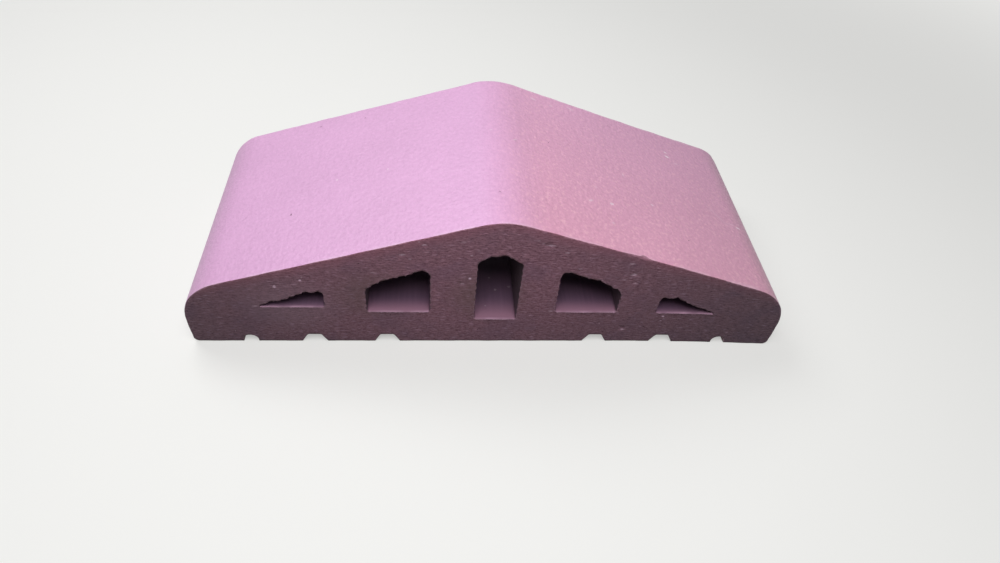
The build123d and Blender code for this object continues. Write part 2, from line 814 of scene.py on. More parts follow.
    def shifts(self, loops: list[Loop]) -> EndShift:
        """The shift of every outline point at this end.

        Args:
            loops: The section's outlines.

        Returns:
            The shifts of all their points, in the order of the loops.
        """
        rng = np.random.default_rng(self.seed)
        made = [self.on_cell(loop, rng) if loop.hollow else self.on_outline(loop, rng) for loop in loops]
        return EndShift(
            across=np.concatenate([m.across for m in made]),
            lip=np.concatenate([m.lip for m in made]),
            fade=np.concatenate([m.fade for m in made]),
            wear=np.concatenate([m.wear for m in made]),
        )


@dataclass(frozen=True)
class Nick:
    """A small scar in the cut face, dragged a little way along by the wire.

    Args:
        x: Place across the tile, in mm.
        z: Height above the bedding face, in mm.
        length: How long the scar is, in mm.
        depth: How deep it is, in mm.
    """

    x: float
    z: float
    length: float
    depth: float


@dataclass
class CutFace:
    """One wire-cut end face as a dense flat mesh with the wire's lip and scars.

    Its rows run across the tile, as the marks of the wire do. Sizes are in mm.
    """

    end: TileEnd
    nicks: tuple[Nick, ...] = ()
    row_pitch: float = 0.5
    step: float = 1.5
    edge_gap: float = 0.42
    edge_tests: int = 5
    weld: float = 1e-7
    lip_width: float = 0.65
    chip_width: float = 1.2
    nick_height_share: float = 0.3
    nick_least_height: float = 0.4

    def inside(self, points: np.ndarray, outlines: list[np.ndarray]) -> np.ndarray:
        """Which points lie in the clay, by counting the outlines that each one crosses.

        Args:
            points: Places across and up, in mm.
            outlines: The outlines' points.

        Returns:
            True for each point in the clay.
        """
        crossings = np.zeros(len(points), int)
        for outline in outlines:
            for (x0, z0), (x1, z1) in zip(outline, np.roll(outline, -1, axis=0)):
                if z0 != z1:
                    spans = (z0 > points[:, 1]) != (z1 > points[:, 1])
                    meets = x0 + (points[:, 1] - z0) * (x1 - x0) / (z1 - z0)
                    crossings += spans & (points[:, 0] < meets)
        return crossings % 2 == 1

    def edge_places(self, outlines: list[np.ndarray]) -> np.ndarray:
        """Places close together along every outline.

        Args:
            outlines: The outlines' points.

        Returns:
            Places across and up, in mm.
        """
        parts = []
        for outline in outlines:
            following = np.roll(outline, -1, axis=0)
            for share in np.arange(self.edge_tests) / self.edge_tests:
                parts.append(outline + (following - outline) * share)
        return np.concatenate(parts)

    def rows(self, outlines: list[np.ndarray]) -> np.ndarray:
        """Points in rows over the clay, clear of the outlines.

        Args:
            outlines: The outlines' points, the tile's own first.

        Returns:
            Places across and up, in mm.
        """
        low, high = outlines[0].min(axis=0), outlines[0].max(axis=0)
        rows = []
        for number, z in enumerate(np.arange(low[1] + self.row_pitch, high[1], self.row_pitch)):
            start = low[0] + (number % 2) * self.step / 2
            x = np.arange(start, high[0], self.step)
            rows.append(np.stack([x, np.full(len(x), z)], axis=1))
        points = np.concatenate(rows)
        points = points[self.inside(points, outlines)]
        edge = search_tree(self.edge_places(outlines))
        gap = np.array([edge.find((x, z, 0))[2] for x, z in points])
        return points[gap > self.edge_gap]

    def relief(self, places: np.ndarray, edge: np.ndarray, moved: EndShift) -> tuple[np.ndarray, np.ndarray]:
        """How far each place stands out of the cut plane, in mm, and how pale it is by wear and painted
        highlights.

        Args:
            places: Places in the face, in mm.
            edge: The shifted outline points.
            moved: How the outline points are shifted at this end.

        Returns:
            The height of each place, positive outwards, and its wear from 0 to 1.
        """
        tree = search_tree(edge)
        height = np.zeros(len(places))
        wear = np.zeros(len(places))
        for index, (x, z) in enumerate(places):
            _, nearest, distance = tree.find((x, z, 0))
            reach = self.chip_width if moved.lip[nearest] < 0 else self.lip_width
            share = float(easing(np.array(distance / reach)))
            height[index] = moved.lip[nearest] * share
            wear[index] = moved.wear[nearest] * share
        for nick in self.nicks:
            across = (places[:, 0] - nick.x) / (nick.length / 2)
            up = (places[:, 1] - nick.z) / (self.nick_height_share * nick.length + self.nick_least_height)
            height -= nick.depth * np.exp(-(across**2) - up**2)
        return height, wear

    def mesh_data(self, loops: list[Loop], moved: EndShift) -> tuple[np.ndarray, np.ndarray, np.ndarray]:
        """The face's vertices in mm and its triangles, facing out of the tile.

        Args:
            loops: The section's outlines.
            moved: How each outline point is shifted at this end.

        Returns:
            Vertices (x, height out of the plane, z), triangles, and each vertex's wear.
        """
        flat, runs, edges = wire_of(loops)
        flat = flat + moved.across
        outlines = [flat[run] for run in runs]
        places = np.concatenate([flat, self.rows(outlines)])
        corners = [Vector(place) for place in places.tolist()]
        found = delaunay_2d_cdt(corners, edges, [], 0, self.weld, True)
        vertices = np.array([tuple(vertex) for vertex in found[0]])
        triangles = np.array(found[2])
        triangles = triangles[self.inside(vertices[triangles].mean(axis=1), outlines)]
        height, wear = self.relief(vertices, flat, moved)
        origin = np.array([original[0] if original else -1 for original in found[3]])
        on_outline = (origin >= 0) & (origin < len(flat))
        height[on_outline] = moved.lip[origin[on_outline]]
        wear[on_outline] = moved.wear[origin[on_outline]]
        if self.end is TileEnd.BACK:
            triangles = triangles[:, ::-1]
        return np.column_stack([vertices[:, 0], height, vertices[:, 1]]), triangles, wear


@dataclass(frozen=True)
class Mark:
    """One scuff, chip or lime speck on the surface, as a flat patch of paler clay.

    Args:
        place: Its middle, in mm.
        size: Its length, width and depth, in mm.
        turn: How far it is turned about the upright axis, in degrees.
        strength: How far it covers what is under it, from 0 to 1.
    """

    place: tuple[float, float, float]
    size: tuple[float, float, float]
    turn: float = 0.0
    strength: float = 0.7

@dataclass(frozen=True)
class Fade:
    """A change from one value to another as some measure goes from a start to an end.

    Args:
        start: The measure where the change starts.
        end: The measure where it ends.
        before: The value at the start.
        after: The value at the end.
    """

    start: float
    end: float | NodeSocket
    before: float = 0.0
    after: float = 1.0

    def in_metres(self) -> "Fade":
        """The same change over a measure in metres, where this one's is in mm."""
        return Fade(self.start * MM, self.end * MM, self.before, self.after)

    def inputs(self, measure: NodeSocket) -> dict[str, float | NodeSocket]:
        """The change as inputs of a node.

        Args:
            measure: The socket that gives the measure.

        Returns:
            The inputs by name.
        """
        span = {"From Min": self.start, "From Max": self.end}
        return {"Value": measure, **span, "To Min": self.before, "To Max": self.after}


@dataclass(frozen=True)
class Grain:
    """A grainy pattern, level or drawn out along the tile's axes.

    Args:
        size: One grain's size along X, Y and Z, in mm.
        slant: How far the grains are turned in the end face, in degrees.
        detail: How many finer patterns are laid over the first.
        roughness: How strong the finer ones are, from 0 to 1.
    """

    size: tuple[float, float, float]
    slant: float = 0.0
    detail: float = 2.0
    roughness: float = 0.5

    def pattern(self, tree: NodeTree, place: NodeSocket) -> NodeSocket:
        """Adds the pattern to a material.

        Args:
            tree: The material's node tree.
            place: Object coordinates.

        Returns:
            The pattern, from 0 to 1.
        """
        turn = (0.0, math.radians(self.slant), 0.0)
        drawn = {"Vector": place, "Rotation": turn, "Scale": Vector(self.size) * MM}
        local = add_node(tree, "ShaderNodeMapping", drawn, vector_type="TEXTURE")
        noise = {"Vector": local, "Scale": 1.0, "Detail": self.detail, "Roughness": self.roughness}
        return add_node(tree, "ShaderNodeTexNoise", noise)


@dataclass(frozen=True)
class Specks:
    """Scattered round specks of one kind.

    Args:
        spacing: The mean distance between the places where a speck may be, in mm.
        size: A speck's width, in mm.
        share: The share of those places that have one.
        core: The share of its width over which a speck is full.
    """

    spacing: float
    size: float
    share: float
    core: float = 0.5

    def mask(self, tree: NodeTree, place: NodeSocket) -> NodeSocket:
        """Adds the specks' mask to a material.

        Args:
            tree: The material's node tree.
            place: Object coordinates.

        Returns:
            The mask, 1 in a speck and 0 outside.
        """
        nearest = add_node(tree, "ShaderNodeTexVoronoi", {"Vector": place, "Scale": 1 / (self.spacing * MM)})
        tint = {"Color": nearest.node.outputs["Color"]}
        chance = add_node(tree, "ShaderNodeSeparateColor", tint, out="Red")
        reach = self.size / self.spacing / 2
        edge = Fade(self.core * reach, reach, 1.0, 0.0)
        inside = add_node(tree, "ShaderNodeMapRange", edge.inputs(nearest))
        chosen = add_node(tree, "ShaderNodeMath", {0: chance, 1: self.share}, operation="LESS_THAN")
        return add_node(tree, "ShaderNodeMath", {0: inside, 1: chosen}, operation="MULTIPLY")


@dataclass(frozen=True)
class Area:
    """An oval area of an end face.

    Args:
        middle: Its middle across and up, in mm.
        reach: How far it reaches across and up, in mm.
    """

    middle: tuple[float, float]
    reach: tuple[float, float]

    def away(self, tree: NodeTree, place: NodeSocket) -> NodeSocket:
        """How far each place lies from the middle.

        Args:
            tree: The material's node tree.
            place: Object coordinates.

        Returns:
            0 at the middle and 1 at the reach.
        """
        oval = {
            "Vector": place,
            "Location": (self.middle[0] * MM, 0.0, self.middle[1] * MM),
            "Scale": (self.reach[0] * MM, 1.0, self.reach[1] * MM),
        }
        local = add_node(tree, "ShaderNodeMapping", oval, vector_type="TEXTURE")
        return add_node(tree, "ShaderNodeVectorMath", {0: local}, out="Value", operation="LENGTH")


@dataclass(frozen=True)
class TonePatch:
    """A soft patch of another colour in an end face.

    Args:
        area: Where it is.
        colour: What it adds to the clay, as an sRGB hex colour.
        strength: How far it covers the clay at its middle, from 0 to 1.
    """

    area: Area
    colour: str
    strength: float


# What breaks a mark's edge: its grain in mm, how far that reaches, and where the mark
# starts and ends to thin out, in shares of its size
MARK_GRAIN = Grain((0.9, 0.9, 0.9))
MARK_BREAKING = 1.1
MARK_THINNING = (0.95, 1.5)


def marks_mask(tree: NodeTree, place: NodeSocket, marks: tuple[Mark, ...]) -> NodeSocket | float:
    """A mask that is up to 1 on the marks and 0 elsewhere, with broken edges.

    Args:
        tree: The material's node tree.
        place: Object coordinates.
        marks: The marks.

    Returns:
        The mask's socket, or 0 where there are no marks.
    """
    mask = 0.0
    if not marks:
        return mask
    ragged = MARK_GRAIN.pattern(tree, place)
    for mark in marks:
        patch = {
            "Vector": place,
            "Location": Vector(mark.place) * MM,
            "Rotation": (0.0, 0.0, math.radians(mark.turn)),
            "Scale": Vector(mark.size) * MM / 2,
        }
        local = add_node(tree, "ShaderNodeMapping", patch, vector_type="TEXTURE")
        away = add_node(tree, "ShaderNodeVectorMath", {0: local}, out="Value", operation="LENGTH")
        edge = {0: ragged, 1: MARK_BREAKING, 2: away}
        broken = add_node(tree, "ShaderNodeMath", edge, operation="MULTIPLY_ADD")
        inside = add_node(tree, "ShaderNodeMapRange", Fade(*MARK_THINNING, mark.strength, 0.0).inputs(broken))
        mask = add_node(tree, "ShaderNodeMath", {0: inside, 1: mask}, operation="MAXIMUM")
    return mask


def coated(
    tree: NodeTree,
    base: NodeSocket | Colour,
    coats: list[tuple[NodeSocket | float, NodeSocket | str]],
    way: Coat = Coat.COVERS,
) -> NodeSocket:
    """Lays coats of colour over a base, each by its own mask.

    Args:
        tree: The material's node tree.
        base: The colour underneath.
        coats: The coats' masks and colours, the lowest first. A colour is a socket or sRGB hex.
        way: How they lie on what is under them.

    Returns:
        The colour of them all.
    """
    for mask, colour in coats:
        laid = {0: mask, 6: base, 7: linear(colour) if isinstance(colour, str) else colour}
        base = add_node(tree, "ShaderNodeMix", laid, out=2, data_type="RGBA", blend_type=way.value)
    return base


@dataclass(frozen=True, kw_only=True)
class Finish:
    """One finish of the fired clay.

    Args:
        name: What the surface is and how it was made.
        rubbed_and_highlit: Its colour where an edge is rubbed, and of the painted highlights on lips and
            rims, as sRGB hex.
        roughness: The shader's roughness, from 0 to 1.
        specular: The shader's specular level, 0.5 on closed clay and less where it is torn open.
        relief_height: What a relief of 1 stands for, in mm.
    """

    name: str
    rubbed_and_highlit: str
    roughness: float
    specular: float = 0.5
    relief_height: float

    def surface(self, tree: NodeTree, place: NodeSocket) -> tuple[NodeSocket, NodeSocket]:
        """The colour and the relief of the whole surface, away from rubbed edges.

        Args:
            tree: The material's node tree.
            place: Object coordinates.

        Returns:
            The colour, and the relief from about 0 to 1.
        """
        raise NotImplementedError

    def material(self) -> Material:
        """Builds the finish's nodes.

        Returns:
            The material.
        """
        material = bpy.data.materials.new(self.name)
        tree = bare_tree(material)
        colour, relief = self.surface(tree, add_node(tree, "ShaderNodeTexCoord", out="Object"))
        # The pale edge colour lies where the edge is rubbed and where highlights are painted on lips and rims
        worn = add_node(tree, "ShaderNodeAttribute", out="Fac", attribute_name="wear")
        raised = {"Height": relief, "Strength": 1.0, "Distance": self.relief_height * MM}
        clay = {
            "Base Color": coated(tree, colour, [(worn, self.rubbed_and_highlit)]),
            "Roughness": self.roughness,
            "Specular IOR Level": self.specular,
            "Normal": add_node(tree, "ShaderNodeBump", raised),
        }
        shader = add_node(tree, "ShaderNodeBsdfPrincipled", clay)
        add_node(tree, "ShaderNodeOutputMaterial", {"Surface": shader})
        return material


@dataclass(frozen=True, kw_only=True)
class FiredSkin(Finish):
    """Vitrified clinker skin, burnished by the extruder's die and left unglazed.

    The die closes the surface, so it is satin and even, with a few pores and lime
    specks. The kiln leaves it a pale violet bloom over the brown body. The right slope
    is painted rosier, a painted tint that stands for warmer light falling there, and
    the lighter grains show there too.
    """

    name: str = "vitrified_clinker_skin"
    rubbed_and_highlit: str = "f4dfec"
    roughness: float = 0.46
    relief_height: float = 0.45
    bloom: str = "d9a6d0"
    warm_light_tint: str = "dfa2bd"
    pore: str = "6b4757"
    lime: str = "f4dfec"
    bared_grain: str = "ecb8c6"

    # Where the painted warm light tint lies, in mm across the ridge and along the tile, and the grains that
    # show there
    warm_light_across: Fade = Fade(-14.0, 26.0)
    warm_light_along: Fade = Fade(-60.0, 60.0, 1.0, 0.55)
    grain: Grain = Grain((1.8, 1.8, 1.8))
    grain_bared: Fade = Fade(0.54, 0.68, 0.0, 0.55)

    # How the tone varies: painted shade towards the right eave, in mm across, soft clouds and fine speckle
    painted_eave_shade: Fade = Fade(62.0, 150.0, 1.0, 0.88)
    mottle: Grain = Grain((46.0, 46.0, 46.0), detail=3.0)
    mottle_shade: Fade = Fade(0.3, 0.7, 0.965, 1.035)
    speckle: Grain = Grain((1.8, 1.8, 1.8), roughness=0.6)
    speckle_shade: Fade = Fade(0.25, 0.75, 0.935, 1.065)

    # Pores, lime and the relief of the burnished clay, which the die drew out a little
    pores: Specks = Specks(7.0, 0.55, 0.07)
    lime_specks: Specks = Specks(11.0, 0.7, 0.05)
    dimples: Grain = Grain((2.6, 2.3, 2.3), roughness=0.55)
    drawn_lines: Grain = Grain((1.3, 16.0, 1.3))
    drawn_share: float = 0.22
    marks: tuple[Mark, ...] = ()
    pits: tuple[Mark, ...] = ()

    def base(self, tree: NodeTree, place: NodeSocket) -> NodeSocket:
        """The bloom, turning across the ridge to a rosier tint of painted warm light, with a soft mottle and
        painted shade towards the right eave.

        Args:
            tree: The material's node tree.
            place: Object coordinates.

        Returns:
            The colour's socket.
        """
        axes = add_node(tree, "ShaderNodeSeparateXYZ", {"Vector": place}, out="X").node.outputs
        # The rosier tint over the right slope is painted warm light, fading towards the back
        across = self.warm_light_across.in_metres().inputs(axes["X"])
        warm_lit = add_node(tree, "ShaderNodeMapRange", across, interpolation_type="SMOOTHSTEP")
        along = add_node(tree, "ShaderNodeMapRange", self.warm_light_along.in_metres().inputs(axes["Y"]))
        warm_lit = add_node(tree, "ShaderNodeMath", {0: warm_lit, 1: along}, operation="MULTIPLY")
        grain = self.grain.pattern(tree, place)
        bared = add_node(tree, "ShaderNodeMapRange", self.grain_bared.inputs(grain))
        bared = add_node(tree, "ShaderNodeMath", {0: bared, 1: warm_lit}, operation="MULTIPLY")
        colour = coated(tree, linear(self.bloom), [(warm_lit, self.warm_light_tint), (bared, self.bared_grain)])
        mottle = self.mottle.pattern(tree, place)
        clouds = add_node(tree, "ShaderNodeMapRange", self.mottle_shade.inputs(mottle))
        # Painted shade darkens the skin towards the right eave
        eave_shaded = add_node(tree, "ShaderNodeMapRange", self.painted_eave_shade.in_metres().inputs(axes["X"]))
        shade = add_node(tree, "ShaderNodeMath", {0: clouds, 1: eave_shaded}, operation="MULTIPLY")
        return coated(tree, colour, [(1.0, shade)], Coat.TINTS)

    def surface(self, tree: NodeTree, place: NodeSocket) -> tuple[NodeSocket, NodeSocket]:
        """The speckled bloom with its pores, lime and scuffs, and the dimples that the die left.

        Args:
            tree: The material's node tree.
            place: Object coordinates.

        Returns:
            The colour, and the relief from about 0 to 1.
        """
        speckle = self.speckle.pattern(tree, place)
        shade = add_node(tree, "ShaderNodeMapRange", self.speckle_shade.inputs(speckle))
        colour = coated(tree, self.base(tree, place), [(1.0, shade)], Coat.TINTS)
        scattered = self.pores.mask(tree, place)
        chosen = marks_mask(tree, place, self.pits)
        pores = add_node(tree, "ShaderNodeMath", {0: scattered, 1: chosen}, operation="MAXIMUM")
        coats = [
            (pores, self.pore),
            (self.lime_specks.mask(tree, place), self.lime),
            (marks_mask(tree, place, self.marks), self.lime),
        ]
        dimples = self.dimples.pattern(tree, place)
        lines = {0: self.drawn_lines.pattern(tree, place), 1: self.drawn_share, 2: dimples}
        relief = add_node(tree, "ShaderNodeMath", lines, operation="MULTIPLY_ADD")
        relief = add_node(tree, "ShaderNodeMath", {0: relief, 1: pores}, operation="SUBTRACT")
        return coated(tree, colour, coats), relief


@dataclass(frozen=True, kw_only=True)
class CutClay(Finish):
    """Wire-cut clinker body, torn open by the wire and fired rough.

    Its open grain scatters light and drinks it, so it is darker and duller than
    the skin, with short level drags where the wire shook on its way down. The fire
    flushed it along the roof and left a few greyer clouds, and away from the lit crest
    it is painted darker as painted shade towards the ends and the foot.
    The drags are so long through the clay that the whole face shows one slice of them.
    """

    roof_apex: float
    roof_slope: float
    name: str = "wire_cut_clinker_body"
    rubbed_and_highlit: str = "d9b0c8"
    roughness: float = 0.82
    specular: float = 0.25
    relief_height: float = 0.2
    body: str = "ca94a8"
    deep: str = "734f60"
    rim: str = "c57c90"
    grey: str = "8a6c86"
    # The tint of the painted shade on the far ends
    far: str = "b8cfca"
    scratch: str = "dcaac6"
    lime: str = "f2cde6"
    pit: str = "3d2a33"

    # The wire's drags, the clay's own grain in them, and the pale scratches of grit
    drags: Grain = Grain((3.0, 1000.0, 0.62), slant=4.0, detail=3.0, roughness=0.6)
    grain: Grain = Grain((0.9, 0.9, 0.9))
    grain_share: float = 0.3
    drags_shown: Fade = Fade(0.31, 0.69)
    scratches: Grain = Grain((3.8, 1000.0, 0.9), slant=4.0, detail=1.0)
    scratches_shown: Fade = Fade(0.6, 0.74, 0.0, 0.8)

    # The flushed rim under the roof, in mm, the painted light round the crest that falls to painted shade,
    # the fire's clouds, and darker and paler patches
    rim_depth: float = 7.0
    rim_share: float = 0.5
    lit_crest: Area = Area((-17.0, 69.0), (215.0, 150.0))
    lit_crest_fade: Fade = Fade(0.1, 1.0)
    cloud: Grain = Grain((17.0, 17.0, 17.0))
    clouds_shown: Fade = Fade(0.48, 0.66, 0.0, 0.28)
    patch_core: float = 0.15
    tone_patches: tuple[TonePatch, ...] = (
        TonePatch(Area((-5.0, 38.0), (27.0, 26.0)), "7c6a68", 0.5),
        TonePatch(Area((-61.0, 37.0), (28.0, 24.0)), "7c6a68", 0.45),
        TonePatch(Area((-102.0, 29.0), (34.0, 26.0)), "c3a3b7", 0.28),
    )
    lime_specks: Specks = Specks(7.0, 0.65, 0.12)
    pits: Specks = Specks(4.5, 0.8, 0.12)
    marks: tuple[Mark, ...] = ()

    def tone(self, tree: NodeTree, place: NodeSocket, colour: NodeSocket) -> NodeSocket:
        """Lays the flushed rim, the grey clouds and the patches over the clay, and painted shade that darkens
        the far ends away from the crest.

        Args:
            tree: The material's node tree.
            place: Object coordinates.
            colour: The clay's own colour.

        Returns:
            The toned colour.
        """
        cloud = self.cloud.pattern(tree, place)
        clouded = add_node(tree, "ShaderNodeMapRange", self.clouds_shown.inputs(cloud))
        axes = add_node(tree, "ShaderNodeSeparateXYZ", {"Vector": place}, out="X").node.outputs
        outward = add_node(tree, "ShaderNodeMath", {0: axes["X"]}, operation="ABSOLUTE")
        roof = {0: outward, 1: self.roof_slope, 2: axes["Z"]}
        under_roof = add_node(tree, "ShaderNodeMath", roof, operation="MULTIPLY_ADD")
        rim = Fade(self.roof_apex - self.rim_depth, self.roof_apex, 0.0, self.rim_share)
        flushed = add_node(tree, "ShaderNodeMapRange", rim.in_metres().inputs(under_roof))
        coats = [(clouded, self.grey), (flushed, self.rim)]
        for tone_patch in self.tone_patches:
            edge = Fade(self.patch_core, 1.0, tone_patch.strength, 0.0).inputs(tone_patch.area.away(tree, place))
            share = add_node(tree, "ShaderNodeMapRange", edge, interpolation_type="SMOOTHSTEP")
            coats.append((share, tone_patch.colour))
        # Painted shade: the clay darkens away from the lit crest towards the ends and the foot
        from_lit_crest = self.lit_crest_fade.inputs(self.lit_crest.away(tree, place))
        distant = add_node(tree, "ShaderNodeMapRange", from_lit_crest, interpolation_type="SMOOTHSTEP")
        return coated(tree, coated(tree, colour, coats), [(distant, self.far)], Coat.TINTS)

    def surface(self, tree: NodeTree, place: NodeSocket) -> tuple[NodeSocket, NodeSocket]:
        """The dragged and toned clay with its pits and lime, and the relief of its drags.

        Args:
            tree: The material's node tree.
            place: Object coordinates.

        Returns:
            The colour, and the relief from about 0 to 1.
        """
        mixed = {0: self.grain_share, 2: self.drags.pattern(tree, place), 3: self.grain.pattern(tree, place)}
        drags = self.drags_shown.inputs(add_node(tree, "ShaderNodeMix", mixed, data_type="FLOAT"))
        drags = add_node(tree, "ShaderNodeMapRange", drags)
        scratches = self.scratches_shown.inputs(self.scratches.pattern(tree, place))
        scratches = add_node(tree, "ShaderNodeMapRange", scratches)
        colour = coated(tree, linear(self.deep), [(drags, self.body), (scratches, self.scratch)])
        pits = self.pits.mask(tree, place)
        coats = [
            (pits, self.pit),
            (self.lime_specks.mask(tree, place), self.lime),
            (marks_mask(tree, place, self.marks), self.lime),
        ]
        relief = add_node(tree, "ShaderNodeMath", {0: drags, 1: pits}, operation="SUBTRACT")
        return coated(tree, self.tone(tree, place, colour), coats), relief


@dataclass(frozen=True, kw_only=True)
class CoredWall(Finish):
    """Clinker body drawn over the die's cores: smooth, dull and a little dusty.

    Near the mouths the floors are painted a lighter violet, a painted light that reaches
    less far in where a cell is low. The walls and ceilings are painted dark as painted shade.
    """

    half_length: float
    name: str = "cored_clinker_wall"
    rubbed_and_highlit: str = "c69cb6"
    roughness: float = 0.6
    relief_height: float = 0.03
    # Painted light at the mouths, darker floors deeper in, and painted shade on the walls and ceilings
    mouth: str = "9d7288"
    body: str = "80607a"
    deep: str = "695067"
    wall: str = "54434d"
    lime: str = "c8b4be"
    full_reach: float = 10.0
    drawn_lines: Grain = Grain((1.4, 60.0, 1.4), detail=3.0)
    marks: tuple[Mark, ...] = ()

    def bloom(self, tree: NodeTree, place: NodeSocket) -> NodeSocket:
        """The share of painted light, falling off from the mouth inwards by each cell's own reach.

        Args:
            tree: The material's node tree.
            place: Object coordinates.

        Returns:
            The share, up to 1 at the mouth of a high cell.
        """
        along = add_node(tree, "ShaderNodeSeparateXYZ", {"Vector": place}, out="Y")
        from_middle = add_node(tree, "ShaderNodeMath", {0: along}, operation="ABSOLUTE")
        inwards = {0: self.half_length * MM, 1: from_middle}
        depth = add_node(tree, "ShaderNodeMath", inwards, operation="SUBTRACT")
        reach = add_node(tree, "ShaderNodeAttribute", out="Fac", attribute_name="bloom_reach")
        thinning = Fade(0.0, reach, 1.0, 0.0).inputs(depth)
        bloom = add_node(tree, "ShaderNodeMapRange", thinning, interpolation_type="SMOOTHSTEP")
        full = {0: reach, 1: self.full_reach * MM}
        strength = add_node(tree, "ShaderNodeMath", full, operation="DIVIDE", use_clamp=True)
        return add_node(tree, "ShaderNodeMath", {0: bloom, 1: strength}, operation="MULTIPLY")

    def surface(self, tree: NodeTree, place: NodeSocket) -> tuple[NodeSocket, NodeSocket]:
        """The drawn clay, painted lighter at the mouths and painted as shade on what isn't a floor, and its
        lines.

        Args:
            tree: The material's node tree.
            place: Object coordinates.

        Returns:
            The colour, and the relief from about 0 to 1.
        """
        lines = self.drawn_lines.pattern(tree, place)
        bedded = add_node(tree, "ShaderNodeAttribute", out="Fac", attribute_name="cell_floor")
        upright = add_node(tree, "ShaderNodeMath", {0: 1.0, 1: bedded}, operation="SUBTRACT")
        # The mouth colour is painted light and the wall colour is painted shade
        coats = [
            (lines, self.body),
            (self.bloom(tree, place), self.mouth),
            (upright, self.wall),
            (marks_mask(tree, place, self.marks), self.lime),
        ]
        return coated(tree, linear(self.deep), coats), lines


@dataclass(frozen=True)
class SweepInput:
    """One named input of the sweep's node tree, with its kind of socket and its value."""

    name: str
    kind: str
    value: object


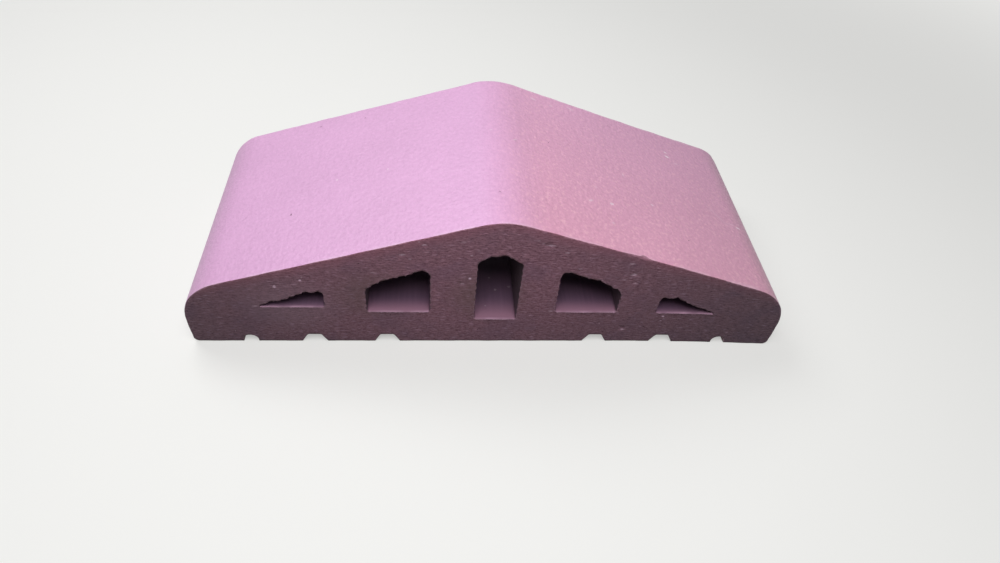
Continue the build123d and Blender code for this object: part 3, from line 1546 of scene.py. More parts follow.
@dataclass
class CopingTile:
    """The whole tile: a section swept along the ridge between two wire-cut ends.

    Sizes are in mm, and shares from 0 to 1.
    """

    section: CopingSection
    length: float
    cuts: dict[TileEnd, WireCut]
    faces: dict[TileEnd, CutFace]

    # The rings along the ridge, and how strongly they crowd towards the ends
    rings: int = 29
    crowding: float = 2.5
    weld: float = 0.01

    # The relief: waves in the drawn faces, chatter and grain in the cut ones
    relief_seed: int = 7
    wave_height: float = 0.12
    wave_length: float = 55.0
    chatter_height: float = 0.12
    chatter_pitch: float = 1.2
    chatter_length: float = 4.5
    grain_height: float = 0.09
    grain_size: float = 1.6

    # What the finishes go by: rubbed and painted highlit ends, the painted light's reach into a cell
    # by the cell's height, and how far a wall faces down under the tile, or up on a cell's floor
    wear_reach: float = 1.3
    mouth_light_share: float = 0.36
    under_facing: float = 0.3
    floor_facing: tuple[float, float] = (0.28, 0.98)
    groove_margin: float = 0.01

    def drift(self, end: TileEnd, x: np.ndarray) -> np.ndarray:
        """How far one end's cut stands out of square over places across the tile, in mm."""
        return self.cuts[end].drift(x, self.section.width / 2)

    def section_wire(self, loops: list[Loop], moved: dict[TileEnd, EndShift]) -> Object:
        """The section's outlines as closed wires that carry each end's shifts.

        Args:
            loops: The outlines.
            moved: How each outline point is shifted at either end.

        Returns:
            An object that only the node tree reads.
        """
        flat, _, edges = wire_of(loops)
        level = np.zeros(len(flat))
        places = np.column_stack([flat[:, 0], level, flat[:, 1]]) * MM
        mesh = bpy.data.meshes.new("section_wire")
        mesh.from_pydata(places, edges, [])
        out = np.concatenate([loop.outward() for loop in loops])
        cell = np.concatenate([np.full(len(loop.points), float(loop.hollow)) for loop in loops])
        heights = np.concatenate([np.full(len(loop.points), np.ptp(loop.points[:, 1])) for loop in loops])
        low = flat[:, 1] < self.section.key_groove_depth + self.groove_margin
        inboard = np.abs(flat[:, 0]) < self.section.width / 2 - self.section.foot_radius
        under = (cell == 0) & ((out[:, 1] < -self.under_facing) | low & inboard)
        vectors = {"at": places, "outward": np.column_stack([out[:, 0], level, out[:, 1]])}
        numbers = {
            "cell": cell,
            "cell_floor": cell * ramp(out[:, 1], *self.floor_facing),
            "underside": under.astype(float),
            "bloom_reach": heights * self.mouth_light_share * MM,
        }
        for end, shift in moved.items():
            outwards = end.value * (shift.lip + self.drift(end, flat[:, 0] + shift.across[:, 0]))
            moves = np.column_stack([shift.across[:, 0], outwards, shift.across[:, 1]])
            vectors[end.stored("shift")] = moves * MM
            numbers[end.stored("fade")] = shift.fade * MM
            numbers[end.stored("wear")] = shift.wear
        for name, values in vectors.items():
            set_attribute(mesh, name, "FLOAT_VECTOR", "POINT", values)
        for name, values in numbers.items():
            set_attribute(mesh, name, "FLOAT", "POINT", values)
        return add_object("section_wire", mesh)

    def end_faces(self, loops: list[Loop], moved: dict[TileEnd, EndShift]) -> Mesh:
        """Both end faces in one mesh, each in its cut plane.

        Args:
            loops: The section's outlines.
            moved: How each outline point is shifted at either end.

        Returns:
            The mesh, with its wear stored.
        """
        vertices = []
        triangles = []
        wears = []
        count = 0
        for end, face in self.faces.items():
            places, corners, wear = face.mesh_data(loops, moved[end])
            places[:, 1] = end.value * (self.length / 2 + self.drift(end, places[:, 0]) + places[:, 1])
            vertices.append(places * MM)
            triangles.append(corners + count)
            wears.append(wear)
            count += len(places)
        mesh = bpy.data.meshes.new("end_faces")
        mesh.from_pydata(np.concatenate(vertices), [], np.concatenate(triangles))
        set_attribute(mesh, "cut_face", "BOOLEAN", "FACE", np.ones(len(mesh.polygons), bool))
        set_attribute(mesh, "cut", "FLOAT", "POINT", np.ones(len(mesh.vertices)))
        set_attribute(mesh, "wear", "FLOAT", "POINT", np.concatenate(wears))
        return mesh

    def inputs(self, wire: Object, finishes: dict[str, Material]) -> list[SweepInput]:
        """The tree's named inputs.

        Args:
            wire: The section's wire.
            finishes: The materials, by the names of their inputs.

        Returns:
            The inputs with their values.
        """
        sizes = {
            "Length": self.length,
            "Wear Reach": self.wear_reach,
            "Wave Height": self.wave_height,
            "Wave Length": self.wave_length,
            "Chatter Height": self.chatter_height,
            "Chatter Pitch": self.chatter_pitch,
            "Chatter Length": self.chatter_length,
            "Grain Height": self.grain_height,
            "Grain Size": self.grain_size,
        }
        return [
            SweepInput("Section", "NodeSocketObject", wire),
            SweepInput("Rings", "NodeSocketInt", self.rings),
            SweepInput("Crowding", "NodeSocketFloat", self.crowding),
            SweepInput("Seed", "NodeSocketInt", self.relief_seed),
            *(SweepInput(name, "NodeSocketFloat", size * MM) for name, size in sizes.items()),
            *(SweepInput(name, "NodeSocketMaterial", finish) for name, finish in finishes.items()),
        ]

    def stored(self, tree: NodeTree) -> Sockets:
        """What the meshes store for the tree to read.

        Args:
            tree: The node tree.

        Returns:
            Each attribute's socket, by its name.
        """
        kinds = {"at": "FLOAT_VECTOR", "outward": "FLOAT_VECTOR", "cut_face": "BOOLEAN"}
        kinds |= {name: "FLOAT" for name in ("cell", "underside", "cut", "ring")}
        for end in TileEnd:
            kinds[end.stored("shift")] = "FLOAT_VECTOR"
            kinds[end.stored("fade")] = "FLOAT"
            kinds[end.stored("wear")] = "FLOAT"
        return {
            name: add_node(tree, "GeometryNodeInputNamedAttribute", {"Name": name}, data_type=kind)
            for name, kind in kinds.items()
        }

    def tree(self, inputs: list[SweepInput]) -> NodeTree:
        """Builds the node tree that sweeps the section and lays the relief.

        Args:
            inputs: The tree's named inputs.

        Returns:
            The node tree.
        """
        tree = bpy.data.node_groups.new("swept_section", "GeometryNodeTree")
        tree.interface.new_socket("Geometry", in_out="INPUT", socket_type="NodeSocketGeometry")
        for wanted in inputs:
            tree.interface.new_socket(wanted.name, in_out="INPUT", socket_type=wanted.kind)
        tree.interface.new_socket("Geometry", in_out="OUTPUT", socket_type="NodeSocketGeometry")
        given = {socket.name: socket for socket in tree.nodes.new("NodeGroupInput").outputs}
        stored = self.stored(tree)
        joined = tree.nodes.new("GeometryNodeJoinGeometry")
        for part in (self.swept(tree, given, stored), given["Geometry"]):
            tree.links.new(part, joined.inputs[0])
        whole = {"Geometry": joined.outputs[0], "Distance": self.weld * MM}
        welded = add_node(tree, "GeometryNodeMergeByDistance", whole)
        laid = self.relief(tree, given, stored["cut"], welded)
        smooth = add_node(tree, "GeometryNodeSetShadeSmooth", {"Geometry": laid})
        real = add_node(tree, "GeometryNodeRealizeInstances", {"Geometry": smooth})
        dressed = add_node(tree, "GeometryNodeSetMaterial", {"Geometry": real, "Material": given["Skin"]})
        for name, finish in (("cell", "Cored Wall"), ("underside", "Underside"), ("cut_face", "Cut Clay")):
            most = {0: stored[name], 1: 0.5}
            chosen = add_node(tree, "FunctionNodeCompare", most, operation="GREATER_THAN", data_type="FLOAT")
            dress = {"Geometry": dressed, "Selection": chosen, "Material": given[finish]}
            dressed = add_node(tree, "GeometryNodeSetMaterial", dress)
        add_node(tree, "NodeGroupOutput", {"Geometry": dressed})
        return tree

    def swept(self, tree: NodeTree, given: Sockets, stored: Sockets) -> NodeSocket:
        """The section swept along the ridge, its faces turned outwards.

        Args:
            tree: The node tree.
            given: The tree's inputs.
            stored: What the meshes store.

        Returns:
            The swept walls.
        """
        section = {"Object": given["Section"]}
        wire = add_node(tree, "GeometryNodeObjectInfo", section, out="Geometry", transform_space="ORIGINAL")
        profile = add_node(tree, "GeometryNodeMeshToCurve", {"Mesh": wire})
        line = add_node(tree, "GeometryNodeCurvePrimitiveLine", {"Start": (0, -1, 0), "End": (0, 1, 0)})
        rail = add_node(tree, "GeometryNodeResampleCurve", {"Curve": line, "Count": given["Rings"]})
        factor = add_node(tree, "GeometryNodeSplineParameter", out="Factor")
        ring = {"Geometry": rail, "Name": "ring", "Value": factor}
        rail = add_node(tree, "GeometryNodeStoreNamedAttribute", ring, data_type="FLOAT", domain="POINT")
        swept = add_node(tree, "GeometryNodeCurveToMesh", {"Curve": rail, "Profile Curve": profile})
        half = add_node(tree, "ShaderNodeMath", {0: given["Length"], 1: 0.5}, operation="MULTIPLY")
        y = self.crowded(tree, given["Crowding"], stored["ring"], half)
        place, worn = self.shifted(tree, given, stored, half, y)
        wear = {"Geometry": swept, "Name": "wear", "Value": worn}
        swept = add_node(tree, "GeometryNodeStoreNamedAttribute", wear, data_type="FLOAT", domain="POINT")
        placed = add_node(tree, "GeometryNodeSetPosition", {"Geometry": swept, "Position": place})
        directions = {0: stored["outward"], 1: add_node(tree, "GeometryNodeInputNormal")}
        facing = add_node(tree, "ShaderNodeVectorMath", directions, out="Value", operation="DOT_PRODUCT")
        level = {0: facing, 1: 0.0}
        inwards = add_node(tree, "FunctionNodeCompare", level, operation="LESS_THAN", data_type="FLOAT")
        return add_node(tree, "GeometryNodeFlipFaces", {"Mesh": placed, "Selection": inwards})

    def crowded(
        self, tree: NodeTree, crowding: NodeSocket, ring: NodeSocket, half: NodeSocket
    ) -> NodeSocket:
        """Where each ring stands along the ridge, with the rings crowding towards the ends.

        Args:
            tree: The node tree.
            crowding: How strongly they crowd.
            ring: Each ring's share of the way from the front to the back.
            half: Half the tile's length.

        Returns:
            Places along the ridge, from the middle.
        """
        side = add_node(tree, "ShaderNodeMath", {0: ring, 1: 2.0, 2: -1.0}, operation="MULTIPLY_ADD")
        from_middle = add_node(tree, "ShaderNodeMath", {0: side}, operation="ABSOLUTE")
        left = add_node(tree, "ShaderNodeMath", {0: 1.0, 1: from_middle}, operation="SUBTRACT")
        crowded = add_node(tree, "ShaderNodeMath", {0: left, 1: crowding}, operation="POWER")
        reach = add_node(tree, "ShaderNodeMath", {0: 1.0, 1: crowded}, operation="SUBTRACT")
        out = add_node(tree, "ShaderNodeMath", {0: reach, 1: half}, operation="MULTIPLY")
        sign = add_node(tree, "ShaderNodeMath", {0: side}, operation="SIGN")
        return add_node(tree, "ShaderNodeMath", {0: out, 1: sign}, operation="MULTIPLY")

    def shifted(
        self, tree: NodeTree, given: Sockets, stored: Sockets, half: NodeSocket, y: NodeSocket
    ) -> tuple[NodeSocket, NodeSocket]:
        """Each point's place with what the wire did to both ends, and how far it is rubbed.

        Args:
            tree: The node tree.
            given: The tree's inputs.
            stored: What the meshes store.
            half: Half the tile's length.
            y: The point's place along the ridge.

        Returns:
            The place and the wear.
        """
        along = add_node(tree, "ShaderNodeCombineXYZ", {"Y": y})
        place = add_node(tree, "ShaderNodeVectorMath", {0: stored["at"], 1: along}, operation="ADD")
        worn = 0.0
        for end in TileEnd:
            outwards = add_node(tree, "ShaderNodeMath", {0: y, 1: float(end.value)}, operation="MULTIPLY")
            depth = add_node(tree, "ShaderNodeMath", {0: half, 1: outwards}, operation="SUBTRACT")
            fade = Fade(0.0, stored[end.stored("fade")], 1.0, 0.0).inputs(depth)
            weight = add_node(tree, "ShaderNodeMapRange", fade, interpolation_type="SMOOTHSTEP")
            shift = {0: stored[end.stored("shift")], "Scale": weight}
            part = add_node(tree, "ShaderNodeVectorMath", shift, operation="SCALE")
            place = add_node(tree, "ShaderNodeVectorMath", {0: place, 1: part}, operation="ADD")
            rubbed_and_highlit = Fade(0.0, given["Wear Reach"], 1.0, 0.0).inputs(depth)
            near = add_node(tree, "ShaderNodeMapRange", rubbed_and_highlit)
            wear = {0: near, 1: stored[end.stored("wear")], 2: worn}
            worn = add_node(tree, "ShaderNodeMath", wear, operation="MULTIPLY_ADD")
        return place, worn

    def swell(
        self,
        tree: NodeTree,
        given: Sockets,
        kind: str,
        place: NodeSocket,
        scale: NodeSocket | float,
        detail: float,
    ) -> NodeSocket:
        """How far one kind of relief stands out at each place.

        Args:
            tree: The node tree.
            given: The tree's inputs.
            kind: Wave, Chatter or Grain, whose height is an input.
            place: The place, drawn out as the relief is.
            scale: The pattern's scale.
            detail: How many finer patterns are laid over the first.

        Returns:
            The height, in metres, below 0 where the relief lies deep.
        """
        pattern = {"Vector": place, "W": given["Seed"], "Scale": scale, "Detail": detail}
        noise = add_node(tree, "ShaderNodeTexNoise", pattern, noise_dimensions="4D")
        about = add_node(tree, "ShaderNodeMath", {0: noise, 1: 0.5}, operation="SUBTRACT")
        return add_node(tree, "ShaderNodeMath", {0: about, 1: given[f"{kind} Height"]}, operation="MULTIPLY")

    def relief(self, tree: NodeTree, given: Sockets, cut: NodeSocket, mesh: NodeSocket) -> NodeSocket:
        """Lays gentle waves on the drawn faces, and chatter and grain on the cut ones.

        Args:
            tree: The node tree.
            given: The tree's inputs.
            cut: 1 on the cut faces and 0 elsewhere.
            mesh: The welded mesh.

        Returns:
            The mesh with its relief.
        """
        position = add_node(tree, "GeometryNodeInputPosition")
        scales = {
            name: add_node(tree, "ShaderNodeMath", {0: 1.0, 1: given[name]}, operation="DIVIDE")
            for name in ("Wave Length", "Chatter Length", "Chatter Pitch", "Grain Size")
        }
        wave = self.swell(tree, given, "Wave", position, scales["Wave Length"], 1.0)
        drawn = add_node(tree, "ShaderNodeMath", {0: 1.0, 1: cut}, operation="SUBTRACT")
        wave = add_node(tree, "ShaderNodeMath", {0: wave, 1: drawn}, operation="MULTIPLY")
        normal = add_node(tree, "GeometryNodeInputNormal")
        waved = add_node(tree, "ShaderNodeVectorMath", {0: normal, "Scale": wave}, operation="SCALE")
        stretch = {"X": scales["Chatter Length"], "Y": 1.0, "Z": scales["Chatter Pitch"]}
        stretch = {0: position, 1: add_node(tree, "ShaderNodeCombineXYZ", stretch)}
        stretched = add_node(tree, "ShaderNodeVectorMath", stretch, operation="MULTIPLY")
        chatter = self.swell(tree, given, "Chatter", stretched, 1.0, 2.0)
        grain = self.swell(tree, given, "Grain", position, scales["Grain Size"], 2.0)
        rough = add_node(tree, "ShaderNodeMath", {0: chatter, 1: grain}, operation="ADD")
        rough = add_node(tree, "ShaderNodeMath", {0: rough, 1: cut}, operation="MULTIPLY")
        along = add_node(tree, "ShaderNodeSeparateXYZ", {0: position}, out="Y")
        end = add_node(tree, "ShaderNodeMath", {0: along}, operation="SIGN")
        rough = add_node(tree, "ShaderNodeMath", {0: rough, 1: end}, operation="MULTIPLY")
        outwards = add_node(tree, "ShaderNodeCombineXYZ", {"Y": rough})
        offset = add_node(tree, "ShaderNodeVectorMath", {0: waved, 1: outwards}, operation="ADD")
        return add_node(tree, "GeometryNodeSetPosition", {"Geometry": mesh, "Offset": offset})

    def build(self, finishes: dict[str, Material]) -> Object:
        """Makes the tile's mesh and hangs it on the frame.

        Args:
            finishes: The materials, by the names of their inputs.

        Returns:
            The finished piece.
        """
        loops = self.section.loops()
        moved = {end: cut.shifts(loops) for end, cut in self.cuts.items()}
        wire = self.section_wire(loops, moved)
        maker = add_object("sweep_maker", self.end_faces(loops, moved))
        inputs = self.inputs(wire, finishes)
        modifier = maker.modifiers.new("sweep", "NODES")
        modifier.node_group = self.tree(inputs)
        sockets = modifier.node_group.interface.items_tree
        identifiers = {socket.name: socket.identifier for socket in sockets if socket.in_out == "INPUT"}
        for wanted in inputs:
            modifier[identifiers[wanted.name]] = wanted.value
        bpy.context.view_layer.update()
        graph = bpy.context.evaluated_depsgraph_get()
        mesh = bpy.data.meshes.new_from_object(maker.evaluated_get(graph), depsgraph=graph)
        mesh.name = "fired_coping_tile"
        for thing in (maker, wire):
            bpy.data.objects.remove(thing)
        tile = add_object("fired_coping_tile", mesh)
        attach(tile, BODY)
        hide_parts(CAD_NODE)
        LOG.info("%s: %d vertices, %d faces", tile.name, len(mesh.vertices), len(mesh.polygons))
        return tile


@dataclass
class PhotoCamera:
    """The camera that took the photograph, from a fit to the tile's edges.

    Its place is in mm, its angles are in degrees and its nearest sight is in metres.
    """

    image_width: int = 1000
    focal_px: float = 658.867
    sensor_width: float = 36.0
    place: tuple[float, float, float] = (-32.344, -277.574, 284.083)
    pitch_down: float = 47.072
    heading: float = -8.572
    roll: float = 6.832
    nearest: float = 0.01

    def build(self) -> Object:
        """Makes the camera and sets it as the scene's own.

        Returns:
            The camera.
        """
        data = bpy.data.cameras.new("photo_camera")
        data.sensor_width = self.sensor_width
        data.lens = self.focal_px / self.image_width * self.sensor_width
        data.clip_start = self.nearest
        camera = add_object("photo_camera", data)
        turn = (
            Matrix.Rotation(math.radians(self.heading), 4, "Z")
            @ Matrix.Rotation(math.radians(90 - self.pitch_down), 4, "X")
            @ Matrix.Rotation(math.radians(self.roll), 4, "Z")
        )
        camera.matrix_world = Matrix.Translation(Vector(self.place) * MM) @ turn
        bpy.context.scene.camera = camera
        return camera


@dataclass
class Softbox:
    """A broad soft lamp that looks at the tile, with its place and size in metres."""

    name: str
    place: tuple[float, float, float]
    size: float
    power: float
    colour: str = "ffffff"

    def build(self, target: Vector) -> Object:
        """Makes the lamp and turns it to the target.

        Args:
            target: What it looks at.

        Returns:
            The lamp.
        """
        data = bpy.data.lights.new(self.name, "AREA")
        data.shape = "SQUARE"
        data.size = self.size
        data.energy = self.power
        data.color = linear(self.colour)[:3]
        lamp = add_object(self.name, data)
        lamp.location = self.place
        lamp.rotation_euler = (target - Vector(self.place)).to_track_quat("-Z", "Y").to_euler()
        return lamp


@dataclass
class Studio:
    """A plain pale floor, soft lamps and a pale surround, with sizes in metres.

    The floor bounces light as a darker ground would, and far off it fades into the surround.
    """

    floor_colour: str = "b9b9b7"
    floor_glow: float = 0.5
    bounce_colour: str = "6a6e62"
    surround: str = "f2f2f0"
    ambient: str = "c9cacf"
    ambient_strength: float = 0.05
    floor_reach: float = 12.0
    floor_drop: float = 0.0002
    floor_fade: Fade = Fade(0.35, 1.0)
    lamps: tuple[Softbox, ...] = (
        Softbox("top_softbox", (-0.03, -0.28, 0.65), 0.4, 3.15),
        Softbox("side_softbox", (-0.32, 0.28, 0.60), 0.4, 2.2),
        Softbox("back_softbox", (0.10, 1.0, 1.10), 1.2, 1.2),
    )

    def pale_to_eye(self, tree: NodeTree) -> NodeSocket:
        """A factor that is 1 where the camera, a reflection or glass looks, and 0 for light.

        Args:
            tree: The floor's or the world's node tree.

        Returns:
            The factor.
        """
        rays = add_node(tree, "ShaderNodeLightPath").node.outputs
        seen = {0: rays["Is Camera Ray"], 1: rays["Is Glossy Ray"]}
        seen = {0: add_node(tree, "ShaderNodeMath", seen, operation="ADD"), 1: rays["Is Transmission Ray"]}
        return add_node(tree, "ShaderNodeMath", seen, operation="ADD", use_clamp=True)

    def floor_paint(self) -> Material:
        """The floor's matt paint.

        Returns:
            The material.
        """
        material = bpy.data.materials.new("matt_floor_paint")
        tree = bare_tree(material)
        surround = linear(self.surround)
        bounce = add_node(tree, "ShaderNodeBsdfDiffuse", {"Color": linear(self.bounce_colour)})
        painted = add_node(tree, "ShaderNodeBsdfDiffuse", {"Color": linear(self.floor_colour)})
        glow = add_node(tree, "ShaderNodeEmission", {"Color": surround, "Strength": self.floor_glow})
        near = add_node(tree, "ShaderNodeAddShader", {0: painted, 1: glow})
        place = add_node(tree, "ShaderNodeTexCoord", out="Object")
        away = add_node(tree, "ShaderNodeVectorMath", {0: place}, out="Value", operation="LENGTH")
        fade = self.floor_fade.inputs(away)
        far = add_node(tree, "ShaderNodeMapRange", fade, interpolation_type="SMOOTHSTEP")
        distant = add_node(tree, "ShaderNodeEmission", {"Color": surround, "Strength": 1.0})
        shown = add_node(tree, "ShaderNodeMixShader", {0: far, 1: near, 2: distant})
        mixed = add_node(tree, "ShaderNodeMixShader", {0: self.pale_to_eye(tree), 1: bounce, 2: shown})
        add_node(tree, "ShaderNodeOutputMaterial", {"Surface": mixed})
        return material

    def floor(self) -> Object:
        """The pale floor, a little under the tile.

        Returns:
            The floor.
        """
        reach = self.floor_reach
        corners = [(-reach, -reach), (reach, -reach), (reach, reach), (-reach, reach)]
        mesh = bpy.data.meshes.new("floor")
        mesh.from_pydata([(x, y, -self.floor_drop) for x, y in corners], [], [tuple(range(len(corners)))])
        mesh.materials.append(self.floor_paint())
        floor = add_object("floor", mesh)
        return floor

    def world(self) -> None:
        """A dim even ambient that the eye sees as a pale surround."""
        world = bpy.data.worlds.new("studio")
        bpy.context.scene.world = world
        tree = bare_tree(world)
        light = {"Color": linear(self.ambient), "Strength": self.ambient_strength}
        ambient = add_node(tree, "ShaderNodeBackground", light)
        shown = add_node(tree, "ShaderNodeBackground", {"Color": linear(self.surround), "Strength": 1.0})
        mixed = add_node(tree, "ShaderNodeMixShader", {0: self.pale_to_eye(tree), 1: ambient, 2: shown})
        add_node(tree, "ShaderNodeOutputWorld", {"Surface": mixed})

    def build(self, target: Vector) -> None:
        """Makes the floor, the lamps and the surround.

        Args:
            target: What the lamps look at.
        """
        self.floor()
        self.world()
        for lamp in self.lamps:
            lamp.build(target)
        bpy.context.scene.view_settings.view_transform = "Standard"


def front_tears() -> dict[str, Tear]:
    """How the wire tore each cell's ceiling at the front, as the photograph shows it.

    Returns:
        The tear of each cell, by the cell's name.
    """
    return {
        "centre_cell": Tear(
            ((0, -1.6), (0.9, -1.6), (3.6, -0.2), (5.4, 0.7), (8.7, -0.3), (11.4, 0.2))
            + ((13.9, 0.5), (16.4, -0.3), (18.5, -1.5), (20.0, -2.1), (22, -2.4)),
            bite=0.5,
        ),
        "left_side_cell": Tear(
            ((0, 0.6), (1.2, 0.9), (3.1, 0.8), (7.3, 1.3), (8.8, 0.3), (12.1, 0.2), (15.9, 0.3))
            + ((18.4, 0.1), (22.5, 0.2), (24.1, -0.3), (26.6, -1.3), (30.1, -2.6), (32, -3.4)),
            bite=0.6,
        ),
        "right_side_cell": Tear(
            ((0, -0.3), (1.4, 0.2), (5.0, -0.1), (6.3, -0.6), (9.1, -0.5), (11.8, -0.8), (17.2, -0.8))
            + ((19.8, -0.1), (21.6, -1.1), (23.1, -2.4), (25.6, -2.4), (27.4, -3.3), (29.2, -3.2))
            + ((30.6, -4.6), (33.3, -6.0)),
            bite=0.8,
            wall=-0.6,
        ),
        "left_eave_cell": Tear(
            ((0, 1.8), (4.1, 2.0), (6.5, 2.3), (7.4, 3.3), (8.3, 3.6), (9.9, 2.9), (12.4, 2.6))
            + ((15.2, 2.2), (16.6, 1.2), (19.1, 1.1), (21.2, 0.6), (25.0, 1.7), (28.7, 0.8), (31.4, 0.0)),
            bite=0.7,
        ),
        "right_eave_cell": Tear(
            ((0, -1.4), (5.9, 0.4), (7.8, 2.0), (8.9, 2.0), (11.0, 1.3), (13.4, 1.6), (16.8, 0.6))
            + ((21.3, 0.1), (26.1, 0.9), (32.3, 0.0)),
            bite=0.7,
        ),
    }


def front_chips() -> tuple[Chip, ...]:
    """The one chip in the front arris, and the flatter break round it."""
    return (Chip(69.4, 5.4, down=0.05, back=1.5), Chip(64.0, 14.0, down=0.0, back=0.35))


def back_tears() -> dict[str, Tear]:
    """The tears at the back, which the photograph hides, of the same kind and size.

    Returns:
        The tear of each cell, by the cell's name.
    """
    return {
        "centre_cell": Tear(((0, -0.8), (8, 0.6), (16, -0.2), (22, -1.1)), 0.6),
        "left_side_cell": Tear(((0, -0.4), (9, 0.8), (20, -0.5), (32, -2.1)), 0.6),
        "right_side_cell": Tear(((0, 0.2), (12, 0.9), (24, -0.9), (32, -1.8)), 0.5),
        "left_eave_cell": Tear(((0, 0.3), (8, 1.4), (18, -0.4), (38, 0.0)), 0.6),
        "right_eave_cell": Tear(((0, -0.3), (10, 1.1), (22, 0.2), (38, 0.0)), 0.6),
    }


def front_nicks() -> tuple[Nick, ...]:
    """The pits and drags in the front cut.

    Returns:
        The nicks, each by its place across and up, its length and its depth.
    """
    return (
        Nick(-107.9, 43.6, 1.4, 0.6),
        Nick(-95.3, 47.2, 1.0, 0.4),
        Nick(-46.6, 65.1, 2.4, 0.3),
        Nick(-36.0, 71.7, 2.0, 0.3),
        Nick(20.9, 72.3, 4.5, 0.45),
        Nick(-14.3, 50.4, 1.6, 0.5),
        Nick(-18.1, 45.5, 2.2, 0.4),
        Nick(67.2, 53.3, 3.2, 0.5),
        Nick(68.6, 47.4, 2.2, 0.4),
        Nick(69.6, 11.3, 3.0, 0.9),
        Nick(89.9, 22.7, 1.8, 0.5),
    )


def slope_marks() -> tuple[Mark, ...]:
    """The faint scuffs and lime specks on the two slopes.

    Returns:
        The marks, each from a row of its place across and along, size, turn and strength.
    """
    rows = (
        (106.6, 42.0, 3.4, 1.9, -10, 0.75),
        (106.8, 37.8, 4.2, 2.4, -25, 0.9),
        (111.5, 33.0, 5.0, 2.0, 0, 0.25),
        (139.1, -12.7, 4.0, 1.7, -12, 0.95),
        (134.5, -11.5, 7.0, 1.0, -8, 0.25),
        (128.0, -8.0, 26.0, 1.5, -54, 0.16),
        (58.5, -24.9, 3.0, 2.8, 0, 0.8),
        (46.5, -27.2, 3.8, 2.2, 40, 0.45),
        (83.8, -15.5, 2.4, 2.2, 0, 0.5),
        (56.4, -40.2, 2.2, 2.0, 0, 0.4),
        (70.7, 4.1, 1.6, 3.6, 0, 0.35),
        (51.4, -14.5, 2.4, 1.6, 0, 0.3),
        (23.8, 52.2, 4.6, 3.2, -20, 0.45),
        (34.6, 51.2, 2.6, 2.0, 0, 0.4),
        (46.9, 55.1, 6.0, 3.0, -20, 0.35),
        (9.2, 5.5, 4.6, 1.4, 35, 0.5),
        (-3.0, 12.1, 2.4, 1.4, 0, 0.4),
        (-82.6, -1.4, 1.8, 1.4, 0, 0.55),
        (-55.9, -2.2, 1.8, 1.3, 0, 0.5),
    )
    return tuple(
        Mark((x, y, 0.0), (length, width, THROUGH), turn, strength)
        for x, y, length, width, turn, strength in rows
    )


def dots(rows: tuple[tuple[float, float, float, float], ...]) -> tuple[Mark, ...]:
    """Round marks on what faces up.

    Args:
        rows: Each mark's place across and along, its width in mm and its strength.

    Returns:
        The marks.
    """
    return tuple(Mark((x, y, 0.0), (width, width, THROUGH), 0.0, strength) for x, y, width, strength in rows)


def slope_pits() -> tuple[Mark, ...]:
    """The few open pores on the slopes.

    Returns:
        The pores, as round marks.
    """
    rows = (
        (-97.7, 53.0, 1.5, 0.6),
        (-71.7, 50.9, 1.3, 0.4),
        (-1.3, -37.8, 1.3, 0.6),
        (-104.2, -21.3, 1.6, 0.7),
        (100.2, -36.9, 1.4, 0.5),
        (9.8, 5.6, 4.5, 0.14),
        (47.6, -48.6, 3.5, 0.1),
    )
    return dots(rows)


def cell_marks() -> tuple[Mark, ...]:
    """The crumbs of lime on the centre cell's floor.

    Returns:
        The crumbs, as round marks.
    """
    rows = (
        (-1.5, -30.7, 1.5, 0.5),
        (1.4, -39.6, 1.8, 0.45),
        (8.9, -37.3, 2.2, 0.4),
        (-4.5, -51.0, 1.2, 0.3),
    )
    return dots(rows)


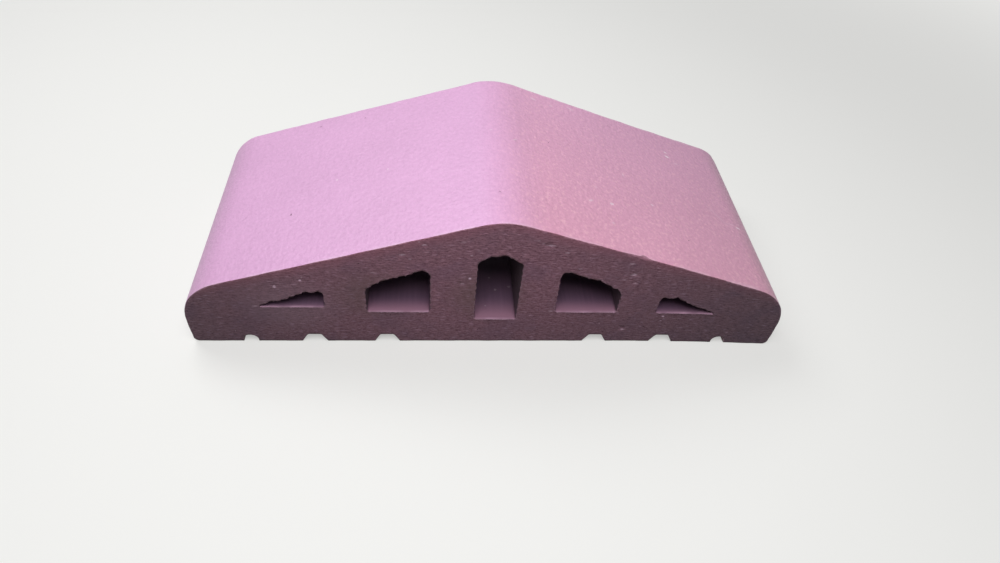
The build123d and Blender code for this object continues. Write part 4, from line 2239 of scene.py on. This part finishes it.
def clay_marks() -> tuple[Mark, ...]:
    """The lime specks and pale drags in the front cut.

    Returns:
        The marks, each from a row of its place across and up, size and strength.
    """
    rows = (
        (-107.9, 42.2, 2.2, 2.0, 1.0),
        (-95.4, 46.8, 1.8, 1.7, 1.0),
        (-94.2, 49.2, 1.3, 1.2, 0.6),
        (-60.6, 52.9, 4.6, 1.0, 0.4),
        (-46.6, 65.1, 4.4, 1.3, 0.8),
        (-43.0, 62.5, 2.0, 1.4, 0.45),
        (-38.7, 73.6, 1.8, 1.2, 0.6),
        (-36.2, 71.6, 3.8, 1.3, 0.8),
        (-18.3, 73.7, 3.0, 1.9, 0.4),
        (-14.2, 65.2, 2.0, 1.2, 0.6),
        (-11.1, 68.4, 2.0, 1.1, 0.35),
        (-14.3, 49.2, 2.0, 1.7, 0.9),
        (-18.0, 45.4, 3.0, 1.6, 0.45),
        (16.4, 75.6, 2.0, 1.6, 0.35),
        (18.8, 73.6, 2.0, 1.4, 0.35),
        (22.6, 72.3, 5.4, 1.6, 0.6),
        (30.9, 67.9, 3.0, 1.2, 0.7),
        (39.2, 57.1, 3.2, 1.2, 0.5),
        (62.3, 49.6, 3.2, 1.2, 0.45),
        (64.0, 61.0, 3.6, 1.6, 0.5),
        (66.8, 53.2, 4.6, 2.6, 0.75),
        (68.9, 46.8, 3.4, 1.7, 0.45),
        (89.9, 21.4, 2.2, 1.6, 1.0),
        (89.6, 17.9, 1.8, 1.2, 0.6),
        (129.3, 8.8, 2.2, 1.8, 0.4),
        (70.4, 9.9, 3.0, 1.4, 0.4),
        (28.9, 25.2, 4.2, 1.1, 0.75),
        (-119.6, 28.0, 4.2, 1.0, 0.55),
    )
    return tuple(
        Mark((x, 0.0, z), (length, THROUGH, width), 0.0, strength)
        for x, z, length, width, strength in rows
    )


def main() -> None:
    """Builds the tile, the camera and the studio in order."""
    logging.basicConfig(level=logging.INFO, format="%(name)s: %(message)s")
    low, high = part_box(CAD_NODE)
    size = (high - low) / MM
    section = CopingSection(width=round(size.x, 2), height=round(size.z, 2))
    skin = FiredSkin(marks=slope_marks(), pits=slope_pits())
    cut = CutClay(roof_apex=section.roof_apex, roof_slope=section.slope, marks=clay_marks())
    wall = CoredWall(half_length=size.y / 2, marks=cell_marks())
    bedding = FiredSkin(
        name="bedding_clinker_skin", bloom="b08798", warm_light_tint="a67d8e", bared_grain="b58b9b", roughness=0.6
    )
    finishes = {"Skin": skin, "Cut Clay": cut, "Cored Wall": wall, "Underside": bedding}
    tile = CopingTile(
        section=section,
        length=round(size.y, 2),
        cuts={
            TileEnd.FRONT: WireCut(TileEnd.FRONT, seed=11, tears=front_tears(), chips=front_chips()),
            TileEnd.BACK: WireCut(TileEnd.BACK, seed=23, tears=back_tears()),
        },
        faces={
            TileEnd.FRONT: CutFace(TileEnd.FRONT, front_nicks()),
            TileEnd.BACK: CutFace(TileEnd.BACK),
        },
    )
    tile.build({name: finish.material() for name, finish in finishes.items()})
    PhotoCamera().build()
    Studio().build((low + high) / 2)


if __name__ == "__main__":
    main()
